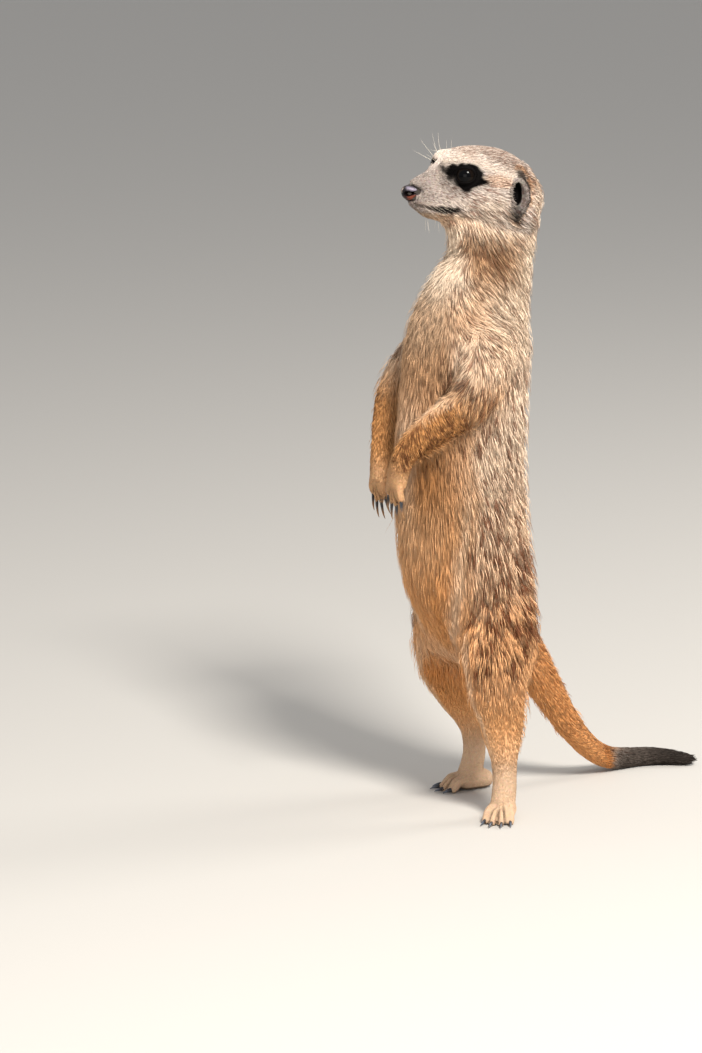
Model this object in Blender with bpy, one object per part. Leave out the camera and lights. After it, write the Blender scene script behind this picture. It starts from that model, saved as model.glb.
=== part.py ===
"""A life-size meerkat standing upright on its hind feet, with its tail on the ground as a third support.

The animal faces -Y, +X is its left and +Z is up. Every outline is that of the coat, out to the tips of the
hair. Each region of the body is a smooth tube through a few named stations, and neighbours meet with a
narrow gap. The last step sets the origin at the middle of the model's footprint.
"""

import math
from collections import namedtuple

import bmesh
import bpy
import numpy as np
from mathutils import Matrix, Vector

# ---------------------------------------------------------------------------------------------- driving sizes
MM = 0.001
UP, DOWN = Vector((0, 0, 1)), Vector((0, 0, -1))
GAP = 0.3 * MM  # clearance between neighbouring pieces

NOSE_TIP = Vector((-13.5, -37.0, 297.4)) * MM
HEAD_TURN = math.radians(-15)  # the head looks a little to the animal's right
HEAD_LENGTH = 68.4 * MM
EYE_RADIUS = 5.6 * MM
EYE_CENTRE = Vector((12.8, 28.0, 10.4)) * MM  # from the nose tip: aside, back, up
EAR_CENTRE = Vector((19.8, 53.0, -0.8)) * MM
EAR_HALF_SIZE = (5.2 * MM, 8.8 * MM)  # front to back, and upright
EAR_RISE = 4.6 * MM  # how far the rim stands off the head

TOE_RADIUS = 2.45 * MM
FINGER_RADIUS = 2.2 * MM
HIND_CLAW = 6.2 * MM
FORE_CLAW = 9.8 * MM
CLAW_BEND, CLAW_TAPER, CLAW_FLATNESS = 0.22, 0.82, 0.72  # shares of a claw's length, radius and radius

# A section of a tube: its centre, half its width across the animal and half its depth, in millimetres.
Section = namedtuple("Section", "x y z width depth")

TRUNK = [
    Section(1.0, 10.0, 71, 18.0, 13.5),  # between the thighs
    Section(0.8, 4.6, 79, 26.5, 20.6),
    Section(0.5, -1.6, 89, 32.5, 26.4),  # hips
    Section(0.0, -5.6, 103, 34.5, 29.6),  # loin
    Section(0.0, -9.6, 122, 33.5, 31.2),
    Section(0.0, -12.2, 146, 32.0, 31.8),  # belly
    Section(0.0, -12.6, 168, 30.5, 31.4),
    Section(0.0, -11.8, 190, 29.5, 31.2),  # ribs
    Section(0.0, -10.0, 210, 28.5, 31.2),
    Section(-0.5, -8.3, 228, 27.0, 31.3),  # shoulders
    Section(-1.0, -5.4, 243, 24.5, 28.8),
    Section(-2.0, 1.7, 257, 21.2, 22.8),  # neck
    Section(-3.0, 5.6, 271, 19.8, 20.5),
    Section(-3.5, 5.0, 286, 18.0, 24.5),  # inside the head
]
NECK_CUT, NECK_CUT_SLOPE = 246 * MM, 0.35  # the cut below the neck runs down towards the chest
WAIST_CUT = 150 * MM
TRUNK_MESH = dict(count=22, sides=20)  # rings along a tube and points round it

HIND_LEFT = [
    Section(17, 1.0, 112, 12.0, 16.5),
    Section(24, -3.6, 98, 15.0, 19.6),  # hip
    Section(26.8, -7.4, 82, 16.2, 19.6),
    Section(28, -7.8, 68, 14.2, 17.2),  # knee
    Section(29.2, -6.9, 57, 11.6, 14.4),
    Section(30, -6.0, 47, 9.4, 12.2),
    Section(31, -5.6, 35, 7.0, 8.8),
    Section(32, -5.6, 26, 5.8, 6.2),  # hock
    Section(33.5, -6.2, 16, 5.6, 5.8),
    Section(35, -8.0, 7, 6.0, 6.0),
]
HIND_RIGHT = [
    Section(-17, 3.0, 112, 12.0, 17.0),
    Section(-24, -1.4, 98, 15.0, 20.0),
    Section(-26.3, -4.0, 82, 16.2, 19.6),
    Section(-27, -4.2, 68, 14.2, 16.5),
    Section(-26.6, -1.2, 56, 11.6, 13.6),
    Section(-26, 3.2, 45, 9.0, 10.2),
    Section(-25, 8.0, 35, 6.9, 7.6),
    Section(-24, 9.8, 26, 5.7, 5.9),
    Section(-23, 9.2, 16, 5.5, 5.5),
    Section(-22.5, 6.4, 7, 6.0, 6.0),
]
KNEE_CUT, HOCK_CUT = 62 * MM, 28 * MM
LEG_MESH = dict(count=18, sides=14, cap_share=0.5)
# Where the toes leave each foot, in millimetres, and the way they point.
BALL_LEFT, HEADING_LEFT = Vector((37.4, -10.6, 0)), math.radians(50)
BALL_RIGHT, HEADING_RIGHT = Vector((-22.8, 2.8, 0)), math.radians(-8)

ARM_LEFT = [
    Section(17, -6.0, 235, 9.0, 13.0),  # shoulder
    Section(24, -11.0, 226, 9.5, 14.0),
    Section(29, -17.0, 214, 9.6, 12.8),
    Section(31, -25.0, 204, 9.4, 10.6),  # elbow
    Section(28.5, -36.0, 197, 8.8, 9.6),
    Section(24, -46.0, 189, 7.6, 8.2),
    Section(19, -53.0, 180, 6.0, 6.2),  # wrist
    Section(16, -55.0, 171, 6.0, 4.8),
    Section(14.5, -55.2, 165, 6.2, 4.3),
]
ARM_RIGHT = [
    Section(-17, -6.0, 234, 9.0, 13.0),
    Section(-24, -12.0, 225, 9.5, 14.0),
    Section(-29.5, -20.0, 214, 9.6, 12.8),
    Section(-32, -27.6, 204, 9.3, 10.2),
    Section(-31, -33.2, 192.5, 8.5, 8.5),
    Section(-28, -37.4, 181.5, 7.1, 7.4),
    Section(-25, -41.0, 172, 5.8, 6.0),
    Section(-23, -43.4, 165, 5.9, 4.7),
    Section(-22, -44.6, 159.5, 6.1, 4.2),
]
ELBOW_PLACE, WRIST_PLACE = 0.42, 0.80  # shares of the arm's stations where it is parted
ARM_MESH = dict(count=18, sides=12, cap_share=0.4)
FINGERS_HANG_LEFT, FINGERS_HANG_RIGHT = (-0.12, -0.10, -1), (0.06, -0.08, -1)

TAIL = [
    Section(0.5, 15.5, 83, 12.5, 12.5),  # root, inside the rump
    Section(0.0, 23.6, 71, 11.2, 11.2),
    Section(-1.5, 32.2, 59, 9.8, 9.8),
    Section(-3.5, 41.2, 46.5, 8.4, 8.4),
    Section(-6.5, 50.6, 34, 7.2, 7.2),
    Section(-10.0, 60.5, 23, 6.4, 6.3),
    Section(-14.5, 72.0, 13.2, 6.2, 5.9),
    Section(-18.5, 84.5, 6.6, 6.0, 5.8),  # where it reaches the ground
    Section(-20.5, 96.5, 4.9, 5.6, 5.3),
    Section(-19.5, 107.5, 4.5, 5.0, 4.9),
    Section(-15.0, 117.0, 4.0, 4.4, 4.4),
    Section(-9.0, 124.5, 3.2, 3.2, 3.4),
]
TAIL_CUTS = (0.37, 0.68)  # shares of the tail's stations where it is parted

# Outline of the head along its length, in millimetres back from the nose tip and up from it: the top line,
# the bottom line, half the width, the level of the widest point.
HeadLine = namedtuple("HeadLine", "back top bottom half_width level")
HEAD_LINES = [
    HeadLine(2.2, 4.2, -3.6, 3.9, 0.2),
    HeadLine(5, 7.6, -5.6, 5.9, 0.4),
    HeadLine(9, 10.0, -9.6, 7.6, -1.0),  # muzzle
    HeadLine(13, 12.8, -11.8, 9.2, -1.0),
    HeadLine(17, 15.6, -12.9, 11.2, 0.0),
    HeadLine(21, 19.0, -13.5, 13.8, 1.5),  # brow
    HeadLine(25, 21.4, -13.9, 16.2, 2.5),
    HeadLine(30, 22.7, -14.3, 18.4, 2.5),  # eyes
    HeadLine(37, 22.8, -14.9, 20.2, 1.5),
    HeadLine(45, 21.7, -16.4, 21.4, 0.0),  # cheeks
    HeadLine(53, 18.8, -17.6, 21.6, -1.5),  # ears
    HeadLine(59, 14.4, -18.0, 19.4, -3.0),
    HeadLine(63.8, 8.2, -16.2, 15.0, -4.5),
    HeadLine(67, 1.6, -12.0, 8.6, -5.5),
]
# Soft swellings and hollows of the face: place from the nose tip, reach and height, in millimetres.
FACE_FORMS = [
    ((9.3, 17.2, 13.6), 4.0, 4.2),  # front of the brow ridge
    ((10.5, 21.0, 16.5), 5.0, 2.3),  # brow ridge
    ((15.0, 36.0, 13.0), 6.0, 0.8),  # back of the brow
    ((9.5, 19.0, 6.5), 4.5, -1.2),  # hollow in front of the eye
    ((16.5, 28.5, 10.2), 6.0, -1.1),  # eye socket
    ((7.0, 8.5, -3.0), 4.5, 0.9),  # whisker pad
    ((17.0, 37.0, -7.0), 9.0, 1.2),  # cheek
    ((6.5, 15.0, -11.0), 4.0, -0.6),  # corner of the lips
]

# Paws. fan is the distance behind the knuckles at which the digits' lines would meet; arch lifts a digit's middle
# and drop lowers its tip; claw_dip tips the claw down. Millimetres, but for claw_dip.
FOOT_SIZE = dict(radius=TOE_RADIUS, fan=26, arch=1.6, drop=2.6, claw=HIND_CLAW, claw_radius=1.5 * MM, claw_dip=-0.11)
HAND_SIZE = dict(radius=FINGER_RADIUS, fan=22, arch=1.0, drop=0.3, claw=FORE_CLAW, claw_radius=1.35 * MM, claw_dip=0.0)
TOES = ((-5.9, 10.5), (-2.1, 13.0), (2.1, 13.0), (5.9, 10.5))  # place across the foot, and length
FINGERS = ((-5.6, 9.5), (-1.9, 12.0), (1.9, 12.0), (5.6, 9.5))
DIGIT_MESH = dict(count=4, sides=6, cap_angles=(45,))

COAT = (0.62, 0.44, 0.27, 1.0)
PALE = (0.78, 0.66, 0.50, 1.0)
DARK = (0.05, 0.04, 0.035, 1.0)
EAR_GREY = (0.16, 0.14, 0.13, 1.0)
CLAW_GREY = (0.13, 0.12, 0.12, 1.0)


# ------------------------------------------------------------------------------------------------ small tools
def clear_scene():
    for obj in list(bpy.data.objects):
        bpy.data.objects.remove(obj, do_unlink=True)


def material(name, colour, roughness):
    made = bpy.data.materials.get(name)
    if made is None:
        made = bpy.data.materials.new(name)
        made.use_nodes = True
        shader = made.node_tree.nodes["Principled BSDF"]
        shader.inputs["Base Color"].default_value = colour
        shader.inputs["Roughness"].default_value = roughness
    return made


def through(rows, count):
    """Points on a Catmull-Rom curve through rows, evenly spaced in its parameter."""
    rows = np.array(rows, float)
    padded = np.vstack([2 * rows[0] - rows[1], rows, 2 * rows[-1] - rows[-2]])
    places = np.linspace(0, len(rows) - 1, count)
    found = []
    for place in places:
        i = min(int(place), len(rows) - 2)
        t = place - i
        a, b, c, d = padded[i : i + 4]
        found.append(0.5 * (2 * b + (c - a) * t + (2 * a - 5 * b + 4 * c - d) * t**2 + (3 * b - a - 3 * c + d) * t**3))
    return np.array(found)


def tube_rings(sections, count, sides, across, grow, cap_share, cap_angles):
    """Rings of points of a tube through sections, with rounded ends, and the two end points."""
    across = Vector(across)
    rows = through([[s.x, s.y, s.z, s.width, s.depth] for s in sections], count) * MM
    centres = [Vector(r[:3]) for r in rows]
    tangents = [(centres[min(i + 1, count - 1)] - centres[max(i - 1, 0)]).normalized() for i in range(count)]
    stack = [(centres[i], tangents[i], rows[i][3] + grow, rows[i][4] + grow) for i in range(count)]

    def cap(end, sign):
        centre, tangent, width, depth = stack[end]
        reach = cap_share * min(width, depth)
        steps = [math.radians(a) for a in cap_angles]
        rings = [
            (centre + tangent * sign * reach * math.sin(a), tangent, width * math.cos(a), depth * math.cos(a))
            for a in steps
        ]
        return rings, centre + tangent * sign * reach

    first, first_point = cap(0, -1)
    last, last_point = cap(-1, 1)
    rings = []
    for centre, tangent, width, depth in first[::-1] + stack + last:
        side = (across - tangent * across.dot(tangent)).normalized()
        deep = tangent.cross(side)
        turn = [2 * math.pi * k / sides for k in range(sides)]
        rings.append([centre + side * width * math.cos(a) + deep * depth * math.sin(a) for a in turn])
    return rings, first_point, last_point


def mesh_of_rings(name, rings, first_point, last_point):
    """One closed mesh of rings of equal size, drawn together at both ends."""
    bm = bmesh.new()
    loops = [[bm.verts.new(p) for p in ring] for ring in rings]
    for lower, upper in zip(loops, loops[1:]):
        for k in range(len(lower)):
            n = (k + 1) % len(lower)
            bm.faces.new((lower[k], lower[n], upper[n], upper[k]))
    for loop, point, flip in ((loops[0], first_point, True), (loops[-1], last_point, False)):
        pole = bm.verts.new(point)
        for k in range(len(loop)):
            n = (k + 1) % len(loop)
            bm.faces.new((loop[n], loop[k], pole) if flip else (loop[k], loop[n], pole))
    bmesh.ops.recalc_face_normals(bm, faces=bm.faces)
    mesh = bpy.data.meshes.new(name)
    bm.to_mesh(mesh)
    bm.free()
    return mesh


def tube(name, sections, count, sides, across=(1, 0, 0), grow=0.0, cap_share=0.8, cap_angles=(35, 65)):
    return mesh_of_rings(name, *tube_rings(sections, count, sides, across, grow, cap_share, cap_angles))


def parted(mesh, name, cuts):
    """A copy of a mesh that keeps what lies on the inner side of each cut: (point, direction pointing out)."""
    bm = bmesh.new()
    bm.from_mesh(mesh)
    for point, outward in cuts:
        outward = Vector(outward).normalized()
        geometry = bm.verts[:] + bm.edges[:] + bm.faces[:]
        bmesh.ops.bisect_plane(
            bm, geom=geometry, plane_co=Vector(point) - outward * GAP / 2, plane_no=outward, clear_outer=True
        )
        rim = [e for e in bm.edges if e.is_boundary]
        bmesh.ops.edgeloop_fill(bm, edges=rim)
    bmesh.ops.recalc_face_normals(bm, faces=bm.faces)
    made = bpy.data.meshes.new(name)
    bm.to_mesh(made)
    bm.free()
    return made


def node(name, mesh, colour, roughness=0.8):
    mesh.name = name
    obj = bpy.data.objects.new(name, mesh)
    bpy.context.scene.collection.objects.link(obj)
    mesh.materials.clear()
    mesh.materials.append(material(f"{name}_finish", colour, roughness))
    mesh.shade_smooth()
    return obj


def cutter(name, mesh):
    obj = bpy.data.objects.new(name, mesh)
    bpy.context.scene.collection.objects.link(obj)
    obj.hide_render = True
    obj.display_type = "WIRE"
    return obj


def boolean(obj, other, operation):
    step = obj.modifiers.new(f"{operation.lower()}_{other.name}", "BOOLEAN")
    step.operation = operation
    step.object = other


def moved(mesh, matrix):
    mesh.transform(matrix)
    return mesh


def at_share(sections, share):
    """The point of a tube's line and its direction at a share of its stations."""
    rows = through([[s.x, s.y, s.z] for s in sections], 201) * MM
    i = min(199, max(1, round(share * 200)))
    return Vector(rows[i]), Vector(rows[i + 1] - rows[i - 1]).normalized()


# --------------------------------------------------------------------------------------------------- the head
HEAD_FRAME = Matrix.Translation(NOSE_TIP) @ Matrix.Rotation(HEAD_TURN, 4, "Z")


def swollen(point, grow):
    """Moves a point of the head outwards by the face's swellings and hollows."""
    shift = grow / MM
    for (x, y, z), reach, height in FACE_FORMS:
        for side in (1, -1):
            apart = ((point.x / MM - side * x) ** 2 + (point.y / MM - y) ** 2 + (point.z / MM - z) ** 2) / reach**2
            shift += height * math.exp(-apart)
    outward = Vector((point.x, 0, point.z - 2 * MM)).normalized()
    return point + outward * shift * MM


def head_mesh(name, grow=0.0):
    """The head with its jaw, in its own frame: rings across the muzzle, from behind the nose to the nape."""
    sides, count = 20, 19
    rows = through([list(line) for line in HEAD_LINES], count)
    rings = []
    for back, top, bottom, half_width, level in rows:
        ring = []
        for k in range(sides):
            a = 2 * math.pi * k / sides
            reach = top - level if math.sin(a) > 0 else level - bottom
            shape = 2 / 2.25
            x = half_width * math.copysign(abs(math.cos(a)) ** shape, math.cos(a))
            z = level + reach * math.copysign(abs(math.sin(a)) ** shape, math.sin(a))
            ring.append(swollen(Vector((x, back, z)) * MM, grow))
        rings.append(ring)
    front = Vector((0, rows[0][0] - 0.4, -0.4)) * MM - Vector((0, grow, 0))
    rear = Vector((0, HEAD_LENGTH, -5.5 * MM)) + Vector((0, grow, 0))
    return moved(mesh_of_rings(name, rings, front, rear), HEAD_FRAME)


def nose_mesh(name, grow=0.0):
    """The nose pad: a rounded wedge, broad above and narrow below."""
    sections = [
        Section(0, 5.0, 1.6, 4.6, 3.6),
        Section(0, 3.4, 1.5, 4.8, 3.9),
        Section(0, 1.7, 1.0, 4.5, 3.8),
        Section(0, 0.7, 0.4, 3.4, 3.0),
    ]
    return moved(tube(name, sections, 5, 12, grow=grow, cap_share=0.25, cap_angles=(45,)), HEAD_FRAME)


def eye_mesh(name, side, grow=0.0):
    bm = bmesh.new()
    bmesh.ops.create_uvsphere(bm, u_segments=14, v_segments=8, radius=EYE_RADIUS + grow)
    mesh = bpy.data.meshes.new(name)
    bm.to_mesh(mesh)
    bm.free()
    centre = Vector((side * EYE_CENTRE.x, EYE_CENTRE.y, EYE_CENTRE.z))
    return moved(mesh, HEAD_FRAME @ Matrix.Translation(centre))


def ear_mesh(name, side):
    """The ear: a curled rim that runs over, behind and under the ear's opening, open to the front."""
    half_long, half_high = (v / MM for v in EAR_HALF_SIZE)
    sections = []
    for degrees in (-118, -80, -40, 0, 40, 80, 112):
        a = math.radians(degrees)
        lean = 1.2 * math.cos(a)
        sections.append(
            Section(
                EAR_CENTRE.x / MM + 0.8 - lean,
                EAR_CENTRE.y / MM + half_long * math.cos(a),
                EAR_CENTRE.z / MM + half_high * math.sin(a),
                EAR_RISE / MM * (0.55 + 0.45 * math.cos(a / 1.6)),
                1.5,
            )
        )
    mirror = Matrix.Scale(side, 4, (1, 0, 0))
    mesh = moved(tube(name, sections, 12, 8, cap_angles=(45,)), HEAD_FRAME @ mirror)
    if side < 0:
        mesh.flip_normals()
    return mesh


def build_head():
    head = node("head", head_mesh("head"), COAT)
    boolean(head, cutter("nose_clearance", nose_mesh("nose_clearance", GAP)), "DIFFERENCE")
    node("nose", nose_mesh("nose"), DARK, 0.4)
    head_room = cutter("head_clearance", head_mesh("head_clearance", GAP))
    for side, word in ((1, "left"), (-1, "right")):
        boolean(head, cutter(f"eye_{word}_clearance", eye_mesh("socket", side, GAP)), "DIFFERENCE")
        node(f"eye_{word}", eye_mesh(f"eye_{word}", side), DARK, 0.1)
        ear = node(f"ear_{word}", ear_mesh(f"ear_{word}", side), EAR_GREY)
        boolean(ear, head_room, "DIFFERENCE")
    return head_room


# -------------------------------------------------------------------------------------------- trunk and tail
def build_trunk(head_room):
    body = tube("trunk", TRUNK, **TRUNK_MESH)
    neck_point, waist_point = (0, 0, NECK_CUT), (0, 0, WAIST_CUT)
    headwards = Vector((0, -NECK_CUT_SLOPE, 1))
    neck = node("neck", parted(body, "neck", [(neck_point, -headwards)]), COAT)
    boolean(neck, head_room, "DIFFERENCE")
    node("chest", parted(body, "chest", [(neck_point, headwards), (waist_point, DOWN)]), COAT)
    node("abdomen", parted(body, "abdomen", [(waist_point, UP)]), COAT)
    return cutter("trunk_clearance", tube("trunk_clearance", TRUNK, grow=GAP, **TRUNK_MESH))


def build_tail(floor, blockers):
    whole = tube("tail", TAIL, 22, 10, cap_share=1.0, cap_angles=(45,))
    cuts = [at_share(TAIL, share) for share in TAIL_CUTS]
    parts = (
        ("tail_base", [(cuts[0][0], cuts[0][1])]),
        ("tail_middle", [(cuts[0][0], -cuts[0][1]), (cuts[1][0], cuts[1][1])]),
        ("tail_tip", [(cuts[1][0], -cuts[1][1])]),
    )
    for name, limits in parts:
        colour = DARK if name == "tail_tip" else COAT
        piece = node(name, parted(whole, name, limits), colour)
        if name == "tail_base":
            for blocker in blockers:
                boolean(piece, blocker, "DIFFERENCE")
        else:
            boolean(piece, floor, "DIFFERENCE")


# ------------------------------------------------------------------------------------------------------- limbs
def claw(name, start, forward, curl, length, radius, digit_room):
    """A tapering claw that leaves the digit's tip along forward and bends towards curl."""
    sections = []
    for t in (0, 0.33, 0.67, 1):
        place = start + forward * length * t + curl * length * CLAW_BEND * t * t
        size = radius * (1 - CLAW_TAPER * t)
        sections.append(Section(*(place / MM), size / MM * CLAW_FLATNESS, size / MM))
    across = forward.cross(curl).normalized()
    mesh = tube(name, sections, 4, 6, across=across, cap_share=0.6, cap_angles=())
    boolean(node(name, mesh, CLAW_GREY, 0.35), digit_room, "DIFFERENCE")


def build_paw(name, paw, base, forward, curl, size, digits):
    """Joins four digits to a paw and sets a claw at the end of each.

    base is the middle of the knuckles, forward the way the digits point and curl the way the claws bend.
    """
    aside = forward.cross(curl).normalized()
    rooms = []
    for number, (spread, length) in enumerate(digits, start=1):
        fan = (forward + aside * spread / size["fan"]).normalized()
        start = base + aside * spread * MM * 0.72 - fan * 3 * MM
        knuckle = start + fan * length * MM * 0.55 - curl * size["arch"] * MM
        tip = start + fan * length * MM + curl * size["drop"] * MM
        radius = size["radius"] / MM
        line = [
            Section(*(start / MM), radius, radius),
            Section(*(knuckle / MM), radius * 1.04, radius),
            Section(*(tip / MM), radius * 0.86, radius * 0.8),
        ]
        digit = tube(f"{name}_digit_{number}", line, across=aside, **DIGIT_MESH)
        boolean(paw, cutter(f"{name}_digit_{number}", digit), "UNION")
        room = cutter(f"{name}_digit_room_{number}", tube("digit_room", line, across=aside, grow=GAP, **DIGIT_MESH))
        rooms.append((number, tip, fan, room))
    for number, tip, fan, room in rooms:
        heading = (fan + curl * size["claw_dip"]).normalized()
        claw(f"{name}_claw_{number}", tip, heading, curl, size["claw"], size["claw_radius"], room)


def build_hind_leg(word, line, ball, heading, trunk_room, floor):
    """Thigh, shank and foot. ball is the middle of the toes' roots, in millimetres, and heading the way they point."""
    leg = tube(f"leg_{word}", line, **LEG_MESH)
    knee, hock = (0, 0, KNEE_CUT), (0, 0, HOCK_CUT)
    thigh = node(f"thigh_{word}", parted(leg, "thigh", [(knee, DOWN)]), COAT)
    boolean(thigh, trunk_room, "DIFFERENCE")
    shank = node(f"shank_{word}", parted(leg, "shank", [(knee, UP), (hock, DOWN)]), COAT)
    boolean(shank, trunk_room, "DIFFERENCE")
    foot = node(f"foot_{word}", parted(leg, "foot", [(hock, UP)]), PALE)
    forward = Vector((math.sin(heading), -math.cos(heading), 0))
    back = ball - forward * 12
    pad_line = [
        Section(back.x, back.y, 4.4, 5.4, 4.6),
        Section((back.x + ball.x) / 2, (back.y + ball.y) / 2, 4.8, 6.8, 5.2),
        Section(ball.x, ball.y, 4.2, 7.2, 4.6),
    ]
    aside = forward.cross(DOWN)
    pad = cutter(f"foot_pad_{word}", tube("foot_pad", pad_line, 5, 12, across=aside, cap_angles=(45,)))
    boolean(foot, pad, "UNION")
    base = Vector((ball.x, ball.y, 4.1)) * MM
    build_paw(f"foot_{word}", foot, base, forward, DOWN, FOOT_SIZE, TOES)
    boolean(foot, floor, "DIFFERENCE")
    return cutter(f"leg_{word}_clearance", tube("leg_clearance", line, grow=GAP, **LEG_MESH))


def build_arm(word, line, hand_aim, trunk_room):
    """Upper arm, forearm and hand. hand_aim is the way the fingers hang."""
    arm = tube(f"arm_{word}", line, **ARM_MESH)
    elbow, elbow_way = at_share(line, ELBOW_PLACE)
    wrist, wrist_way = at_share(line, WRIST_PLACE)
    upper = node(f"upper_arm_{word}", parted(arm, "upper_arm", [(elbow, elbow_way)]), COAT)
    boolean(upper, trunk_room, "DIFFERENCE")
    fore = node(f"forearm_{word}", parted(arm, "forearm", [(elbow, -elbow_way), (wrist, wrist_way)]), COAT)
    boolean(fore, trunk_room, "DIFFERENCE")
    hand = node(f"hand_{word}", parted(arm, "hand", [(wrist, -wrist_way)]), PALE)
    end, _ = at_share(line, 1.0)
    forward = Vector(hand_aim).normalized()
    side = Vector((1, 0, 0))
    curl = forward.cross(side).normalized()
    if curl.y < 0:
        curl = -curl
    build_paw(f"hand_{word}", hand, end, forward, curl, HAND_SIZE, FINGERS)


# ------------------------------------------------------------------------------------------------ putting down
def floor_block():
    bm = bmesh.new()
    bmesh.ops.create_cube(bm, size=1.0)
    mesh = bpy.data.meshes.new("floor_level")
    bm.to_mesh(mesh)
    bm.free()
    mesh.transform(Matrix.Translation((0, 0, -0.5)))
    return cutter("floor_level", mesh)


def centre_on_footprint():
    """Moves everything so that the origin is at the middle of the outline's base."""
    bpy.context.view_layer.update()
    graph = bpy.context.evaluated_depsgraph_get()
    low, high = Vector((1e9,) * 3), Vector((-1e9,) * 3)
    for obj in bpy.data.objects:
        if obj.hide_render:
            continue
        for corner in obj.evaluated_get(graph).bound_box:
            low = Vector(map(min, low, corner))
            high = Vector(map(max, high, corner))
    shift = Vector((-(low.x + high.x) / 2, -(low.y + high.y) / 2, 0))
    for obj in bpy.data.objects:
        obj.location = shift


def main():
    clear_scene()
    head_room = build_head()
    trunk_room = build_trunk(head_room)
    floor = floor_block()
    left_room = build_hind_leg("left", HIND_LEFT, BALL_LEFT, HEADING_LEFT, trunk_room, floor)
    right_room = build_hind_leg("right", HIND_RIGHT, BALL_RIGHT, HEADING_RIGHT, trunk_room, floor)
    build_arm("left", ARM_LEFT, FINGERS_HANG_LEFT, trunk_room)
    build_arm("right", ARM_RIGHT, FINGERS_HANG_RIGHT, trunk_room)
    build_tail(floor, [trunk_room, left_room, right_room])
    centre_on_footprint()


main()
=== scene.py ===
"""Looks of a life-size meerkat that stands upright: skin, coat, eyes, nose, claws, whiskers and stage.

Run as a script it registers its panel and operators and calls them in order. Lengths
are in metres, or in millimetres where a name ends in _MM or a comment says so. The animal faces -Y and
+X is its left.
"""

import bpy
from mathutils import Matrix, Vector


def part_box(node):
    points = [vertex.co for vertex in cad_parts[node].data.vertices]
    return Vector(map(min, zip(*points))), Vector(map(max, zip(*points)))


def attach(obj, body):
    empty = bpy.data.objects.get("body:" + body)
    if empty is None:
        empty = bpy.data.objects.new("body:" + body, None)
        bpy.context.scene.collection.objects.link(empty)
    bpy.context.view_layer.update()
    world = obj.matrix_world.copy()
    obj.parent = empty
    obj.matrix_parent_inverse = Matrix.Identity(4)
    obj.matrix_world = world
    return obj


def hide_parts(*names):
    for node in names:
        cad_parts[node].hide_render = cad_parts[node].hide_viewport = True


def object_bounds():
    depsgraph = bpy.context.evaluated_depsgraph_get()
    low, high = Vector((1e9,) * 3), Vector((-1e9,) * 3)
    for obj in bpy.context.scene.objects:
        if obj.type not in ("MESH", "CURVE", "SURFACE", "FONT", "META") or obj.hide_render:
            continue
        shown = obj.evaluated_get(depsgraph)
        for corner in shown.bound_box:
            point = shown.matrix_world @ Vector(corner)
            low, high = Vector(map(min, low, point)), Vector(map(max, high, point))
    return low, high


bl_info = {
    "name": "Standing meerkat",
    "version": (1, 0, 0),
    "blender": (4, 5, 0),
    "location": "3D Viewport > Sidebar > Meerkat",
    "description": "Gives the solids of a standing meerkat its skin, coat, eyes, nose, claws and whiskers",
    "category": "Object",
}

import math

import bpy
import numpy as np
from bpy.props import FloatProperty, FloatVectorProperty, IntProperty, PointerProperty
from mathutils import Vector
from mathutils.bvhtree import BVHTree
from mathutils.kdtree import KDTree

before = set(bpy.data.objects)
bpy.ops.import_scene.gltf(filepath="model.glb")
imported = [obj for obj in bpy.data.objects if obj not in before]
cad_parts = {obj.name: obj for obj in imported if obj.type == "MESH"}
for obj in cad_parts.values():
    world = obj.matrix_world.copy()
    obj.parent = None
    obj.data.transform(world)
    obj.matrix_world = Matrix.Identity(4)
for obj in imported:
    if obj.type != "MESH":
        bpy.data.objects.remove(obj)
CAD_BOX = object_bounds()
MM = 0.001
SIDES = (("left", 1), ("right", -1))

# --------------------------------------------------------------------------------------- places on the body
UP = np.array((0.0, 0.0, 1.0))


def middle(node):
    low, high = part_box(node)
    return np.array((low + high) / 2)


def unit(v):
    v = np.asarray(v, float)
    return v / np.maximum(np.linalg.norm(v, axis=-1, keepdims=True), 1e-12)


# The head's own axes: aside to its left, back from the nose, and up. Places on it are in millimetres from
# the tip of the nose, which lies this far in front of the eyes and below them.
EYE_BACK_MM, EYE_UP_MM = 28.0, 10.4
ASIDE = unit(middle("eye_left") - middle("eye_right"))
BACK = unit(np.cross(UP, ASIDE))
EYE_RADIUS = float((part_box("eye_left")[1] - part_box("eye_left")[0]).z) / 2
NOSE_TIP = (middle("eye_left") + middle("eye_right")) / 2 - BACK * EYE_BACK_MM * MM - UP * EYE_UP_MM * MM
EYE_ASIDE_MM = float(np.dot(middle("eye_left") - NOSE_TIP, ASIDE)) / MM


def in_head(points):
    """Places from the nose tip, in millimetres: aside, back, up."""
    apart = (points - NOSE_TIP) / MM
    return np.stack([apart @ ASIDE, apart @ BACK, apart @ UP], 1)


def from_head(places):
    places = np.atleast_2d(np.asarray(places, float))
    return NOSE_TIP + (places[:, :1] * ASIDE + places[:, 1:2] * BACK + places[:, 2:3] * UP) * MM


GAZE = unit((0.90, -0.40, 0.10))  # the left eye's, in the head's axes
MOUTH_LINE_MM = ((2.0, -3.0), (4.9, -3.6), (9.1, -4.7), (13.7, -5.6), (18.9, -6.0), (24.5, -6.4))
MOUTH_END_MM = 24.5
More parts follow.
